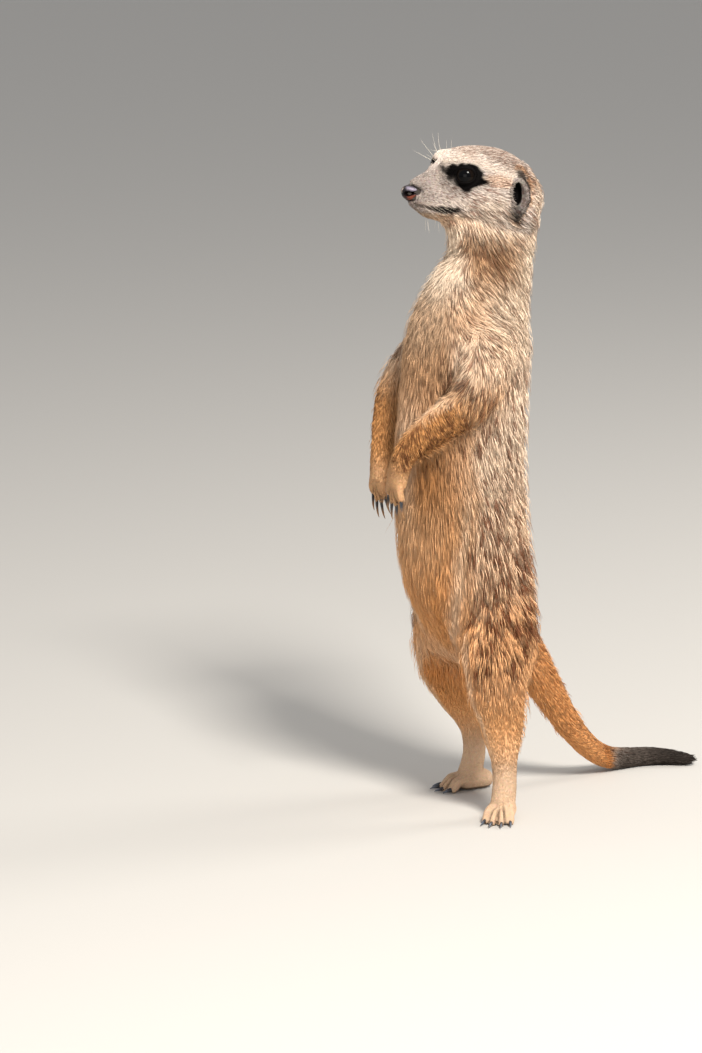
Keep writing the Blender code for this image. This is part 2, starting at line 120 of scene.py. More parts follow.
# Lines on the side of the head are lists of places, back and up. Closed edges have a middle of their own.
EYE_PATCH_MM = (27.0, 10.2)
EYE_PATCH_EDGE_MM = (
    (17.2, 12.6), (17.6, 14.4), (20.0, 15.4), (23.0, 15.4), (27.3, 16.0), (31.2, 15.3), (33.8, 13.0),
    (35.0, 10.2), (36.2, 7.6), (34.8, 6.4), (32.6, 6.2), (30.4, 5.4), (28.6, 3.8), (26.2, 2.8), (23.6, 4.8),
    (20.9, 7.6), (18.6, 10.6),
)
EAR_MM = (51.2, 1.2)
EAR_EDGE_MM = (
    (50.0, 8.6), (52.8, 8.9), (54.9, 5.6), (55.6, 1.2), (54.2, -3.7), (51.0, -7.4), (48.7, -5.4),
    (48.0, 0.0), (48.3, 5.2),
)
EAR_OPENING_MM, EAR_OPENING_HALF_MM = (50.9, 2.0), (2.3, 5.5)
NOSE_PAD_MM = (3.6, 1.4)
NOSE_PAD_EDGE_MM = (
    (-0.3, 1.0), (0.5, 4.4), (2.0, 5.2), (6.0, 4.6), (8.0, 3.3), (7.7, 1.5), (5.8, 0.4), (4.8, -2.4),
    (1.0, -2.2),
)
CROWN_EDGE_MM = ((14, 24), (24.8, 20.9), (34.3, 19.4), (43.1, 15.8), (52.1, 10.2), (60, 3))
BROW_STRIPE_MM = ((12, 12), (20.6, 17.6), (25.8, 18.2), (36, 15.4), (46.1, 11.3), (52, 8.5))
JAW_EDGE_MM = ((10, -7.5), (22, -9.5), (34, -12.0), (46, -16.5), (58, -19.0))  # where the pale cheek ends
TRUNK_MIDDLE_MM = float((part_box("abdomen")[0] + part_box("abdomen")[1]).x) / 2 / MM
# Where the pale or brown front of the trunk meets the flank: heights, and places from front to back.
FLANK_EDGE_MM = (
    (55, -53), (80, -58), (120, -59), (170, -54), (190, -55), (207, -58), (227, -61), (245, -60),
    (262, -52), (276, -45),
)
WELD = 1e-7  # points of the solids that are nearer than this are one
SWELL = 0.3 * MM  # the solids are swollen by this, so that they run into one another
COARSE_GRAIN = 2.2 * MM  # size of the faces that the shares of the stretches are spread on

# -------------------------------------------------------------------------------------------- kinds of coat
# Each stretch of the body: the nodes it covers, the depth of its coat, the length and width of its tufts in
# millimetres, tufts to a square millimetre, how much tufts gather, and the way the hair lies.
ARM_LIE = {s: middle(f"forearm_{s}") - middle(f"upper_arm_{s}") for s, _ in SIDES}
HAND_LIE = {s: middle(f"hand_{s}") - middle(f"forearm_{s}") for s, _ in SIDES}
FOOT_LIE = {s: middle(f"foot_{s}_claw_2") - middle(f"foot_{s}") for s, _ in SIDES}
SHANK_LIE = {s: middle(f"foot_{s}") - middle(f"shank_{s}") for s, _ in SIDES}

COAT_FIELDS = ("depth", "length", "width", "dense", "gather")


def stretch(nodes, lie, *measures):
    return dict(zip(COAT_FIELDS, measures), nodes=nodes, lie=lie)


STRETCHES = {
    "head": stretch(
        ["head", "nose", "ear_left", "ear_right", "eye_left", "eye_right"], BACK * 1.0 - UP * 0.18,
        1.0, 3.6, 0.34, 3.8, 0.35,
    ),
    "neck": stretch(["neck"], (0, -0.15, -1), 2.3, 10.5, 0.29, 3.0, 0.5),
    "chest": stretch(["chest"], (0, 0.08, -1), 3.0, 12.5, 0.38, 2.1, 0.7),
    "abdomen": stretch(["abdomen"], (0, 0.08, -1), 3.3, 12.5, 0.40, 2.0, 0.7),
    "tail_base": stretch(
        ["tail_base"], middle("tail_middle") - middle("tail_base"), 1.5, 7.5, 0.36, 2.2, 0.5
    ),
    "tail_middle": stretch(
        ["tail_middle"], middle("tail_tip") - middle("tail_middle"), 1.0, 6.0, 0.33, 2.6, 0.45
    ),
    "tail_tip": stretch(["tail_tip"], (0.25, 1, -0.05), 1.0, 6.5, 0.34, 2.5, 0.65),
}
for word, _ in SIDES:
    for part, lie, *measures in (
        ("upper_arm", ARM_LIE[word] + (0, 0, -0.02), 2.4, 10.0, 0.38, 2.2, 0.6),
        ("forearm", (0, 0.6, -1) if word == "left" else (0, 0.15, -1), 1.3, 5.4, 0.34, 2.8, 0.5),
        ("hand", HAND_LIE[word], 0.25, 1.6, 0.20, 5.2, 0.2),
        ("thigh", (0, 0.12, -1), 2.9, 11.0, 0.41, 2.0, 0.7),
        ("shank", SHANK_LIE[word], 1.5, 6.0, 0.36, 2.5, 0.5),
        ("foot", (0, 0, -1), 0.3, 1.7, 0.22, 5.0, 0.2),
    ):
        STRETCHES[f"{part}_{word}"] = stretch([f"{part}_{word}"], lie, *measures)
NAMES = list(STRETCHES)
FLESH = [
    node for kind in STRETCHES.values() for node in kind["nodes"] if not node.startswith(("eye", "nose"))
]

# Pieces of the coat: the stretches in each and the axis it is unrolled about for its map.
COAT_PIECES = {
    "head": (("head",), BACK),
    "neck": (("neck",), UP),
    "chest": (("chest",), UP),
    "abdomen": (("abdomen",), UP),
    "arm_left": (("upper_arm_left", "forearm_left", "hand_left"), unit(HAND_LIE["left"])),
    "arm_right": (("upper_arm_right", "forearm_right", "hand_right"), unit(HAND_LIE["right"])),
    "leg_left": (("thigh_left", "shank_left", "foot_left"), UP),
    "leg_right": (("thigh_right", "shank_right", "foot_right"), UP),
    "tail": (("tail_base", "tail_middle", "tail_tip"), np.array((0.0, 1.0, 0.0))),
}
HALVED = ("head", "chest", "abdomen")  # these go out as a left and a right piece


# ----------------------------------------------------------------------------------------------- arithmetic
def rise(low, high, x):
    """0 on the low side, 1 on the high side, and a smooth step between them."""
    t = np.clip((x - low) / (high - low), 0, 1)
    return t * t * (3 - 2 * t)


def within(back, up, centre, edge):
    """How far out from a centre each place lies, as a share of the way to the closed edge round it."""
    corners = np.array(edge) - centre
    turn = np.arctan2(corners[:, 1], corners[:, 0])
    order = np.argsort(turn)
    b, u = back - centre[0], up - centre[1]
    far = np.interp(np.arctan2(u, b), turn[order], np.hypot(*corners.T)[order], period=2 * math.pi)
    return np.hypot(b, u) / far


def in_opening(back, up):
    """0 at the middle of the ear's opening and 1 at its edge."""
    (b, u), (half_b, half_u) = EAR_OPENING_MM, EAR_OPENING_HALF_MM
    return np.hypot((back - b) / half_b, (up - u) / half_u)


def hashed(cells, seed):
    """A repeatable number from 0 to 1 for each cell of a lattice."""
    n = cells[:, 0] * 73856093 ^ cells[:, 1] * 19349663 ^ cells[:, 2] * 83492791 ^ (seed * 6700417 + 12345)
    n = (n ^ (n >> 13)) * 1274126177 & 0x7FFFFFFF
    n = (n ^ (n >> 15)) * 668265263 & 0x7FFFFFFF
    return ((n >> 4) & 0xFFFF) / 65535.0


def noise(points, seed):
    """Smooth noise from 0 to 1 on a lattice of cells of size 1."""
    base = np.floor(points).astype(np.int64)
    f = points - base
    f = f * f * (3 - 2 * f)
    total = np.zeros(len(points))
    for corner in np.ndindex(2, 2, 2):
        share = np.prod(np.where(corner, f, 1 - f), axis=1)
        total += share * hashed(base + corner, seed)
    return total


def summed(face, triangles, count):
    """Three numbers of each triangle added up at its corners."""
    return np.stack([np.bincount(triangles.ravel(), np.repeat(face[:, k], 3), count) for k in range(3)], 1)


def by_stretch(shares):
    return dict(zip(NAMES, shares.T))


def both(share, part):
    """The share of a limb's stretches, left and right together."""
    return sum(share[f"{part}_{word}"] for word, _ in SIDES)


class Body:
    """The skin's mesh as arrays, with the tools that work on its surface."""

    def __init__(self, mesh):
        self.co = np.empty(len(mesh.vertices) * 3)
        mesh.vertices.foreach_get("co", self.co)
        self.co = self.co.reshape(-1, 3)
        edges = np.empty(len(mesh.edges) * 2, np.int64)
        mesh.edges.foreach_get("vertices", edges)
        a, b = edges.reshape(-1, 2).T
        start, end = np.concatenate([a, b]), np.concatenate([b, a])
        order = np.argsort(start, kind="stable")
        self.near = end[order]
        self.count = np.bincount(start, minlength=len(self.co))
        self.first = np.concatenate([[0], np.cumsum(self.count)[:-1]])
        mesh.calc_loop_triangles()
        self.triangles = np.empty(len(mesh.loop_triangles) * 3, np.int64)
        mesh.loop_triangles.foreach_get("vertices", self.triangles)
        self.triangles = self.triangles.reshape(-1, 3)

    def blurred(self, values, times, share=0.5):
        """Values on the vertices, drawn towards their neighbours' mean a number of times."""
        values = values.reshape(len(self.co), -1)
        share = np.asarray(share).reshape(-1, 1)
        for _ in range(times):
            around = np.add.reduceat(values[self.near], self.first, axis=0) / self.count[:, None]
            values = values + (around - values) * share
        return values

    def evened(self, times):
        """Takes facets out of the surface without shrinking it."""
        for _ in range(times):
            self.co = self.blurred(self.blurred(self.co, 1, 0.55), 1, -0.57)

    def normals(self):
        a, b, c = (self.co[self.triangles[:, k]] for k in range(3))
        face = np.cross(b - a, c - a)
        return unit(summed(face, self.triangles, len(self.co)))

    def areas(self):
        """The triangles' areas, in square millimetres."""
        a, b, c = (self.co[self.triangles[:, k]] for k in range(3))
        return np.linalg.norm(np.cross(b - a, c - a), axis=1) / 2 / MM**2


# --------------------------------------------------------------------------------------------------- meshes
def mesh_object(name, points, faces, materials=()):
    """An object of numpy points and faces, or of lists of faces of several sizes."""
    mesh = bpy.data.meshes.new(name)
    sizes = np.concatenate([np.full(len(f), f.shape[1]) for f in faces])
    corners = np.concatenate([f.ravel() for f in faces]).astype(np.int32)
    mesh.vertices.add(len(points))
    mesh.vertices.foreach_set("co", np.asarray(points, np.float32).ravel())
    mesh.loops.add(len(corners))
    mesh.loops.foreach_set("vertex_index", corners)
    mesh.polygons.add(len(sizes))
    mesh.polygons.foreach_set("loop_start", np.concatenate([[0], np.cumsum(sizes)[:-1]]).astype(np.int32))
    mesh.update(calc_edges=True)
    mesh.shade_smooth()
    obj = bpy.data.objects.new(name, mesh)
    bpy.context.scene.collection.objects.link(obj)
    for material in materials:
        mesh.materials.append(material)
    return obj


def painted(mesh, name, values):
    """Four numbers on each vertex, for the material's nodes to read."""
    layer = mesh.attributes.new(name, "FLOAT_COLOR", "POINT")
    layer.data.foreach_set("color", np.asarray(values, np.float32).ravel())


def welded_parts(nodes, grow):
    """Points and faces of CAD nodes in one list, each node swollen by grow, and each face's node."""
    points, faces, owners, start = [], [], [], 0
    for number, node in enumerate(nodes):
        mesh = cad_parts[node].data
        co = np.array([v.co for v in mesh.vertices])
        welded = np.round(co / WELD).astype(np.int64)
        _, keep, place = np.unique(welded, axis=0, return_index=True, return_inverse=True)
        place = place.ravel()
        mesh.calc_loop_triangles()
        triangles = place[np.array([t.vertices for t in mesh.loop_triangles])]
        co = co[keep]
        a, b, c = (co[triangles[:, k]] for k in range(3))
        face = unit(np.cross(b - a, c - a)) * np.linalg.norm(np.cross(b - a, c - a), axis=1)[:, None]
        points.append(co + unit(summed(face, triangles, len(co))) * grow)
        faces.append(triangles + start)
        owners += [number] * len(triangles)
        start += len(co)
    return np.concatenate(points), np.concatenate(faces), owners


def refined(obj, chosen):
    """Cuts each chosen face into four, and its neighbours to match."""
    import bmesh

    bm = bmesh.new()
    bm.from_mesh(obj.data)
    bm.faces.ensure_lookup_table()
    edges = {e for i in np.flatnonzero(chosen) for e in bm.faces[i].edges}
    bmesh.ops.subdivide_edges(bm, edges=list(edges), cuts=1, use_grid_fill=True)
    bm.to_mesh(obj.data)
    bm.free()


def face_middles(mesh):
    found = np.empty(len(mesh.polygons) * 3)
    mesh.polygons.foreach_get("center", found)
    return found.reshape(-1, 3)


def one_surface(obj, grain):
    """A new mesh: one closed surface round all the parts of the object."""
    step = obj.modifiers.new("one_surface", "REMESH")
    step.mode, step.voxel_size, step.use_smooth_shade = "VOXEL", grain, True
    whole = bpy.data.meshes.new_from_object(obj.evaluated_get(bpy.context.evaluated_depsgraph_get()))
    obj.modifiers.clear()
    return whole


def near_paws(points, room):
    inside = np.zeros(len(points), bool)
    for part in ("hand", "foot"):
        for word, _ in SIDES:
            low, high = (np.array(corner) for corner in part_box(f"{part}_{word}"))
            inside |= ((points > low - room) & (points < high + room)).all(1)
    return inside


def whole_skin(settings):
    """One closed surface over the flesh, finer at face and paws, and each vertex's share in the stretches."""
    covered = [
        (name, node) for name in NAMES for node in STRETCHES[name]["nodes"] if not node.startswith("ear")
    ]
    points, faces, owners = welded_parts([node for _, node in covered], SWELL)
    obj = mesh_object("skin", points, [faces])
    coarse = Body(one_surface(obj, COARSE_GRAIN))
    tree = BVHTree.FromPolygons([Vector(p) for p in points], faces.tolist())
    stretch_of = [NAMES.index(name) for name, _ in covered]
    owner = np.array([stretch_of[owners[tree.find_nearest(p)[2]]] for p in coarse.co])
    shares = np.zeros((len(owner), len(NAMES)))
    shares[np.arange(len(owner)), owner] = 1
    shares = coarse.blurred(shares, settings.spread)

    obj.data = one_surface(obj, settings.grain)
    obj.data.name = "skin"
    fine = Body(obj.data)
    place = in_head(fine.co)
    kept = (place[:, 2] > -13) & (np.abs(place[:, 0]) < 30) & (place[:, 1] > -4) & (place[:, 1] < 62)
    kept |= near_paws(fine.co, 3 * MM)
    group = obj.vertex_groups.new(name="loose")
    group.add(np.flatnonzero(~kept).tolist(), 1.0, "REPLACE")
    step = obj.modifiers.new("fewer_faces", "DECIMATE")
    kept_faces = kept[fine.triangles].all(1).sum()
    step.ratio = (kept_faces + settings.body_faces) / len(fine.triangles)
    step.vertex_group = group.name
    lighter = bpy.data.meshes.new_from_object(obj.evaluated_get(bpy.context.evaluated_depsgraph_get()))
    obj.modifiers.clear()
    obj.data = lighter
    lighter.name = "skin"
    place = in_head(face_middles(lighter))
    aside, back, up = np.abs(place[:, 0]), place[:, 1], place[:, 2]
    eye = eye_angle(aside, back, up)[1] < 9.5
    ear = (aside > 13) & (within(back, up, EAR_MM, EAR_EDGE_MM) < 1.4)
    lips = (back < MOUTH_END_MM + 2) & (np.abs(up - mouth_level(back)) < 1.8)
    refined(obj, eye | ear | lips)
    body = Body(lighter)
    lookup = KDTree(len(coarse.co))
    for i, spot in enumerate(coarse.co):
        lookup.insert(spot, i)
    lookup.balance()
    found = [[(i, 1 / (d + 0.3 * MM)) for _, i, d in lookup.find_n(spot, 3)] for spot in body.co]
    index = np.array([[i for i, _ in row] for row in found])
    weight = np.array([[w for _, w in row] for row in found])
    weight /= weight.sum(1, keepdims=True)
    return obj, body, (shares[index] * weight[:, :, None]).sum(1)


# ---------------------------------------------------------------------------------------- shape of the skin
def mouth_level(back):
    along, level = np.array(MOUTH_LINE_MM).T
    return np.interp(back, along, level)


def bell(distance, reach):
    return np.exp(-((distance / reach) ** 2))


def laid_in(body, depth):
    """Moves the surface inwards by the depth of the coat, in small steps so that it doesn't fold."""
    steps = 6
    for _ in range(steps):
        inwards = -body.blurred(body.normals(), 2)
        body.co = body.co + inwards * (depth / steps)[:, None]
        body.co = body.blurred(body.co, 1, np.clip(depth / MM / 6, 0, 0.5))


def eyelids(co):
    """Lids over each eyeball: the skin stands on the ball round the opening, and dips behind it inside."""
    place = in_head(co)
    for _, side in SIDES:
        centre = np.array((side * EYE_ASIDE_MM, EYE_BACK_MM, EYE_UP_MM))
        gaze = unit(GAZE * (side, 1, 1))
        apart = place - centre
        distance = np.linalg.norm(apart, axis=1)
        way = unit(apart)
        level = unit(np.cross((0, 0, 1), gaze) * side)
        over = unit(np.cross(level, gaze) * -side)
        if over[2] < 0:
            over = -over
        across, high, ahead = way @ level, way @ over, way @ gaze
        angle = np.degrees(np.arccos(np.clip(ahead, -1, 1)))
        turn = np.arctan2(high, np.abs(across))
        opening = 33 + 19 * np.cos(turn) ** 2 - 3 * (high < 0)
        radius = EYE_RADIUS / MM
        lid = 0.55 * bell(angle - opening - 5, 13)
        covered = rise(-2.5, 3.0, angle - opening)
        wanted = (radius - 0.9) * (1 - covered) + (radius + lid) * covered
        near = (angle < opening + 42) & (distance < radius + 3.5)
        fade = 1 - rise(opening + 16, opening + 42, angle)
        eased = wanted * fade + distance * (1 - fade)
        lifted = np.where(angle < opening, wanted, np.maximum(distance, eased))
        moved = centre + way * lifted[:, None]
        place = np.where(near[:, None], moved, place)
    return from_head(place)


def digit_gaps(points):
    """1 in the grooves between the fingers and between the toes, 0 away from them."""
    deepest = np.zeros(len(points))
    for part in ("hand", "foot"):
        for word, _ in SIDES:
            paw = middle(f"{part}_{word}")
            tips = [middle(f"{part}_{word}_claw_{k}") for k in (1, 2, 3, 4)]
            for one, other in zip(tips, tips[1:]):
                centre = (one + other) / 2
                ahead = unit(centre - paw) if part == "hand" else unit((centre - paw) * (1, 1, 0.15))
                across = other - one
                across = unit(across - ahead * (across @ ahead))
                apart = (points - centre) / MM
                along, aside = apart @ ahead, apart @ across
                off = np.linalg.norm(apart, axis=1)
                reach = 12.0 if part == "hand" else 12.5
                cut = bell(aside, 0.62) * rise(-reach, -reach + 4, along) * (off < reach + 2)
                deepest = np.maximum(deepest, cut)
    return deepest


def between_digits(body):
    """Cuts the grooves between the fingers and between the toes."""
    body.co = body.co - body.blurred(body.normals(), 1) * (digit_gaps(body.co) * 1.6 * MM)[:, None]


def filled(body, centre, reach, times):
    """Fills a fold of the body by drawing the surface there towards its mean."""
    near = np.exp(-(((body.co / MM - centre) / reach) ** 2).sum(1))
    body.co = body.blurred(body.co, times, 0.5 * near)


def eye_angle(aside, back, up):
    """The angle off the gaze, in degrees, and the distance from the middle of the eye on the same side."""
    apart = np.stack([aside - EYE_ASIDE_MM, back - EYE_BACK_MM, up - EYE_UP_MM], 1)
    distance = np.linalg.norm(apart, axis=1)
    return np.degrees(np.arccos(np.clip(unit(apart) @ GAZE, -1, 1))), distance


def carve_face(body):
    """The face's folds: brow, lids, lips, the split below the nose, the ears' openings and rims."""
    place = in_head(body.co)
    outward = body.blurred(body.normals(), 1)
    aside, back, up = np.abs(place[:, 0]), place[:, 1], place[:, 2]
    lips = (back < 28) & (back > 1) & (up < 2)
    gap = up - mouth_level(back)
    ends = rise(MOUTH_END_MM + 1.5, MOUTH_END_MM - 2.5, back)
    fold = -0.85 * bell(gap, 0.6) + 0.40 * bell(gap - 1.6, 1.1) + 0.25 * bell(gap + 1.6, 1.0)
    shift = lips * ends * fold
    split = (up < 0) & (up > mouth_level(back)) & (back < 7)
    shift -= split * 0.45 * bell(aside, 0.6)
    shift += 0.6 * bell(np.hypot(back - 11, up + 1.5), 3.4) * (aside > 3)  # whisker pads
    shift -= 0.7 * bell(np.hypot(back - 17.5, up - 8.0), 3.4) * (aside > 3)  # before the eyes
    shift -= 0.9 * bell(np.hypot(back - 14, aside), 4.5) * (up > 5)  # bridge of the nose
    shift += 1.6 * bell(np.hypot(back - 20.5, aside - 8.5), 3.6) * (up > 10)  # front ends of the brows
    shift += 0.7 * bell(np.hypot(back - 26, aside - 10.5), 4.5) * (up > 13)  # brows
    shift -= 0.5 * bell(aside, 3.0) * bell(back - 21, 5) * (up > 8)  # between the brows
    pad = within(back, up, NOSE_PAD_MM, NOSE_PAD_EDGE_MM)
    shift -= 1.6 * rise(1.16, 0.96, pad) * (aside > 1)  # beside the nose pad
    body.co = body.co + outward * shift[:, None] * MM
    place = in_head(body.co)
    aside, back, up = np.abs(place[:, 0]), place[:, 1], place[:, 2]
    ear = within(back, up, EAR_MM, EAR_EDGE_MM)
    hole = rise(1.15, 0.6, in_opening(back, up)) * (aside > 13)
    rear = rise(-2.4, 1.2, back - EAR_MM[0] + 0.10 * np.abs(up - EAR_MM[1]))
    rim = rise(0.45, 0.85, ear) * rise(1.24, 1.03, ear) * rear * (aside > 13)
    place[:, 0] += np.sign(place[:, 0]) * (2.4 * rim - 4.2 * hole)
    body.co = from_head(place)
    body.co = eyelids(body.co)


# ------------------------------------------------------------------------------------------------- markings
def between(first, second, share):
    """A colour between two colours, for each point's share of the second."""
    return np.array(first) * (1 - share[:, None]) + np.array(second) * share[:, None]


def towards(ground, colour, share):
    """The ground's colours, drawn towards one colour by each point's share."""
    return ground + (np.array(colour) - ground) * share[:, None]


def markings(points, normals, shares):
    """How far each marking shows at points of the body: columns ochre, rust, grey and streak, and black."""
    share = by_stretch(shares)
    head, neck = share["head"], share["neck"]
    trunk = share["chest"] + share["abdomen"]
    upper = both(share, "upper_arm")
    fore = both(share, "forearm")
    thighs = both(share, "thigh")
    shanks = both(share, "shank")
    hands = both(share, "hand")
    feet = both(share, "foot")
    tail = share["tail_base"] + share["tail_middle"] + share["tail_tip"]
    x, y, z = (points / MM).T
    place = in_head(points)
    broad = noise(points / MM / (9, 9, 14), 3) - 0.5
    outward = normals[:, 0] * np.sign(x - TRUNK_MIDDLE_MM)
    off_middle = np.abs(x - TRUNK_MIDDLE_MM)
    edge = np.interp(z, *np.array(FLANK_EDGE_MM).T)
    flank = rise(-3, 4, y - edge + broad * 9) * (1 - rise(-0.80, -0.97, normals[:, 1]))
    outer = rise(-0.2, 0.2, outward + 0.6 * rise(0.2, 0.8, normals[:, 1])) * rise(6, 14, off_middle)
    leg_flank = flank * outer
    to_back = rise(-0.35, 0.45, normals[:, 1])
    low, lower = rise(190, 120, z), rise(135, 95, z)
    high = rise(182, 214, z)
    stripe = bell(y - edge + 2.0, 2.6) * (off_middle > 14) * rise(175, 150, z) * rise(36, 52, z)
    stripe *= rise(-0.3, 0.1, outward)
    # Painted shade: browner in a shallow groove in front of the pale stripe.
    groove = bell(y - edge + 7.5, 3.0) * (off_middle > 10) * rise(165, 140, z) * rise(60, 76, z)
    shoulder = bell((z - 236) / 20, 1) * rise(-0.1, 0.4, outward)
    # Painted shadow of the forearms on the belly below them: deeper orange and darker.
    shadow_under_arm = bell(np.hypot((z - 170) / 22, (y + 72) / 11), 1) * rise(4, 12, off_middle) * (1 - flank)

    belly = np.array((0.36, 0.06, 0.02)) + np.outer(low, (0.34, 0.06, -0.02))
    belly = belly + np.outer(lower, (0.12, 0.14, 0))
    belly = belly + np.outer(high, (0.25, 0.07, 0.0)) + np.outer(shadow_under_arm, (0.40, 0.30, 0.0))
    back = np.array((0.08, 0.03, 0.04)) + np.outer(low, (0.27, 0.03, -0.04))
    back = back + np.outer(lower, (0.20, 0.08, 0))
    on_trunk = between(belly, back, flank)
    on_trunk = on_trunk + np.outer(groove * (1 - flank), (0.06, 0.04, 0))
    on_trunk = towards(on_trunk, (0.40, 0.02, 0.0), 0.95 * stripe)
    # The side of the neck below the jaw: browner with dark streaks, and darkened there as painted shade.
    neck_side = flank * (1 - to_back) * bell((z - 268) / 15, 1) * rise(-53, -46, y)
    on_neck = np.array((0.06, 0.0, 0.02)) + np.outer(neck_side, (0.54, 0.12, 0.0))
    on_neck = on_neck + np.outer(rise(260, 240, z) * rise(-0.1, -0.5, normals[:, 1]), (0.36, 0.08, 0.0))
    cheek_edge = place[:, 2] - np.interp(place[:, 1], *np.array(JAW_EDGE_MM).T) + broad * 5
    fringe = rise(-1.5, 1.5, cheek_edge) * rise(20, 34, place[:, 1])
    on_neck = towards(on_neck, (0.12, 0.0, 0.45), fringe)
    elbow = rise(220, 200, z)
    on_upper = between((0.20, 0.05, 0.02), (0.66, 0.14, 0), elbow)
    # Forearms paler on top and darker below: a painted highlight and painted shade, with dark streaks below.
    above = rise(0.45, 0.90, normals[:, 2])
    on_fore = between((0.88, 0.24, 0), (0.34, 0.02, 0.0), above)
    leg_edge = rise(-0.50, -0.80, normals[:, 1]) * bell(outward - 0.14, 0.32) * rise(112, 96, z)
    on_thigh = between((0.95, 0.50, 0), (0.70, 0.18, 0), leg_flank)
    on_thigh = towards(on_thigh, (0.42, 0.02, 0.0), np.maximum(0.9 * stripe, 0.9 * leg_edge))
    inner = rise(0.1, -0.4, outward)
    on_shank = between((0.80, 0.12, 0), (0.88, 0.28, 0), inner)
    on_shank = towards(on_shank, (0.42, 0.0, 0), 0.8 * leg_edge)
    on_shank = towards(on_shank, (0.56, 0.04, 0), rise(52, 18, z))
    on_foot = np.array((0.44, 0.02, 0.08)) + np.outer(rise(22, 50, z), (0.30, 0.10, -0.02))
    on_tail = between((0.30, 0.06, 0), (0.84, 0.34, 0), rise(90, 74, z))
    tail_dark = rise(42, 60, y + broad * 12) * tail
    orange = bell(tail_dark - 0.25, 0.25) * rise(0.02, 0.15, tail_dark)
    on_tail = on_tail + np.outer(orange, (0.0, 0.35, 0.0))
    on_tail = towards(on_tail, (0.10, 0.25, 0.65), rise(0.35, 0.9, tail_dark))
    colours = np.zeros((len(points), 4))
    for part, ground in (
        (trunk, on_trunk), (neck, on_neck), (upper, on_upper), (fore, on_fore), (thighs, on_thigh),
        (shanks, on_shank), (hands, np.array((0.72, 0.12, 0.04))), (feet, on_foot), (tail, on_tail),
    ):
        colours[:, :3] += part[:, None] * ground

    likely = trunk * flank * (0.20 + 0.11 * to_back + 0.22 * low - 0.07 * shoulder) * (1 - stripe)
    likely *= (1 - rise(118, 106, z) * rise(22, 16, off_middle)) * (
        1 - rise(142, 124, z) * rise(-54, -60, y)
    )
    likely *= 1 - rise(115, 100, z) * (1 - outer)
    spotted = leg_flank * rise(0.0, 0.5, outward + 0.8 * rise(0.0, 0.6, normals[:, 1]))
    spotted = spotted * (1 - stripe) * (1 - leg_edge) * rise(-62, -55, y)
    likely += thighs * spotted * rise(62, 80, z - 0.35 * (y + 50) - broad * 8) * 0.56
    likely += neck * (0.18 * flank + 0.50 * neck_side) * (1 - fringe) + (
        upper * flank * (0.24 + 0.16 * elbow)
    )
    likely += fore * (0.30 * (1 - above) + 0.12) * rise(-0.2, 0.2, outward)
    # The crease in front of the elbow, between arm and body: dark streaks, and painted shade in black.
    crease = bell(np.hypot((z - 209) / 12, (y + 62.5 + 0.12 * (z - 209)) / 3.0), 1)
    crease = crease * (trunk + upper) * rise(0.0, 0.4, outward)
    likely += 0.9 * crease
    likely += share["tail_base"] * 0.26 * rise(70, 82, z)
    likely += (share["tail_base"] + share["tail_middle"]) * (0.02 + 0.30 * rise(-0.1, 0.6, normals[:, 2]))
    colours[:, 3] = likely
    black = (0.84 + 0.11 * rise(60, 84, y)) * tail_dark + 0.20 * feet + 0.28 * fore * (1 - 0.8 * above)
    black += 0.26 * neck * neck_side * (1 - fringe) + 0.24 * hands + upper * (0.03 + 0.17 * elbow)
    # Painted shade on the front-facing chest and lower neck.
    facing = rise(-0.30, -0.75, normals[:, 1]) * (1 - flank)
    shade_on_front = (trunk + neck) * facing * (0.10 + 0.24 * bell((z - 236) / 22, 1))
    black += shade_on_front * rise(185, 210, z) * rise(264, 250, z)
    black += 0.14 * trunk * (1 - flank) * bell((z - 144) / 20, 1)
    black += 0.36 * trunk * shadow_under_arm + 0.26 * crease
    # Painted shade in the grooves between the fingers and between the toes.
    black += 0.5 * digit_gaps(points) * (feet + hands)

    face, face_black = face_markings(place)
    blend = rise(0.30, 0.70, head)[:, None]
    colours = colours * (1 - blend) + face * blend
    black = black * (1 - blend[:, 0]) + face_black * blend[:, 0]
    soles = feet * rise(3.0, 1.0, z) * rise(-0.3, -0.8, normals[:, 2])
    black = np.maximum(black, 0.75 * soles)
    return np.clip(colours, 0, 1), np.clip(black, 0, 1)


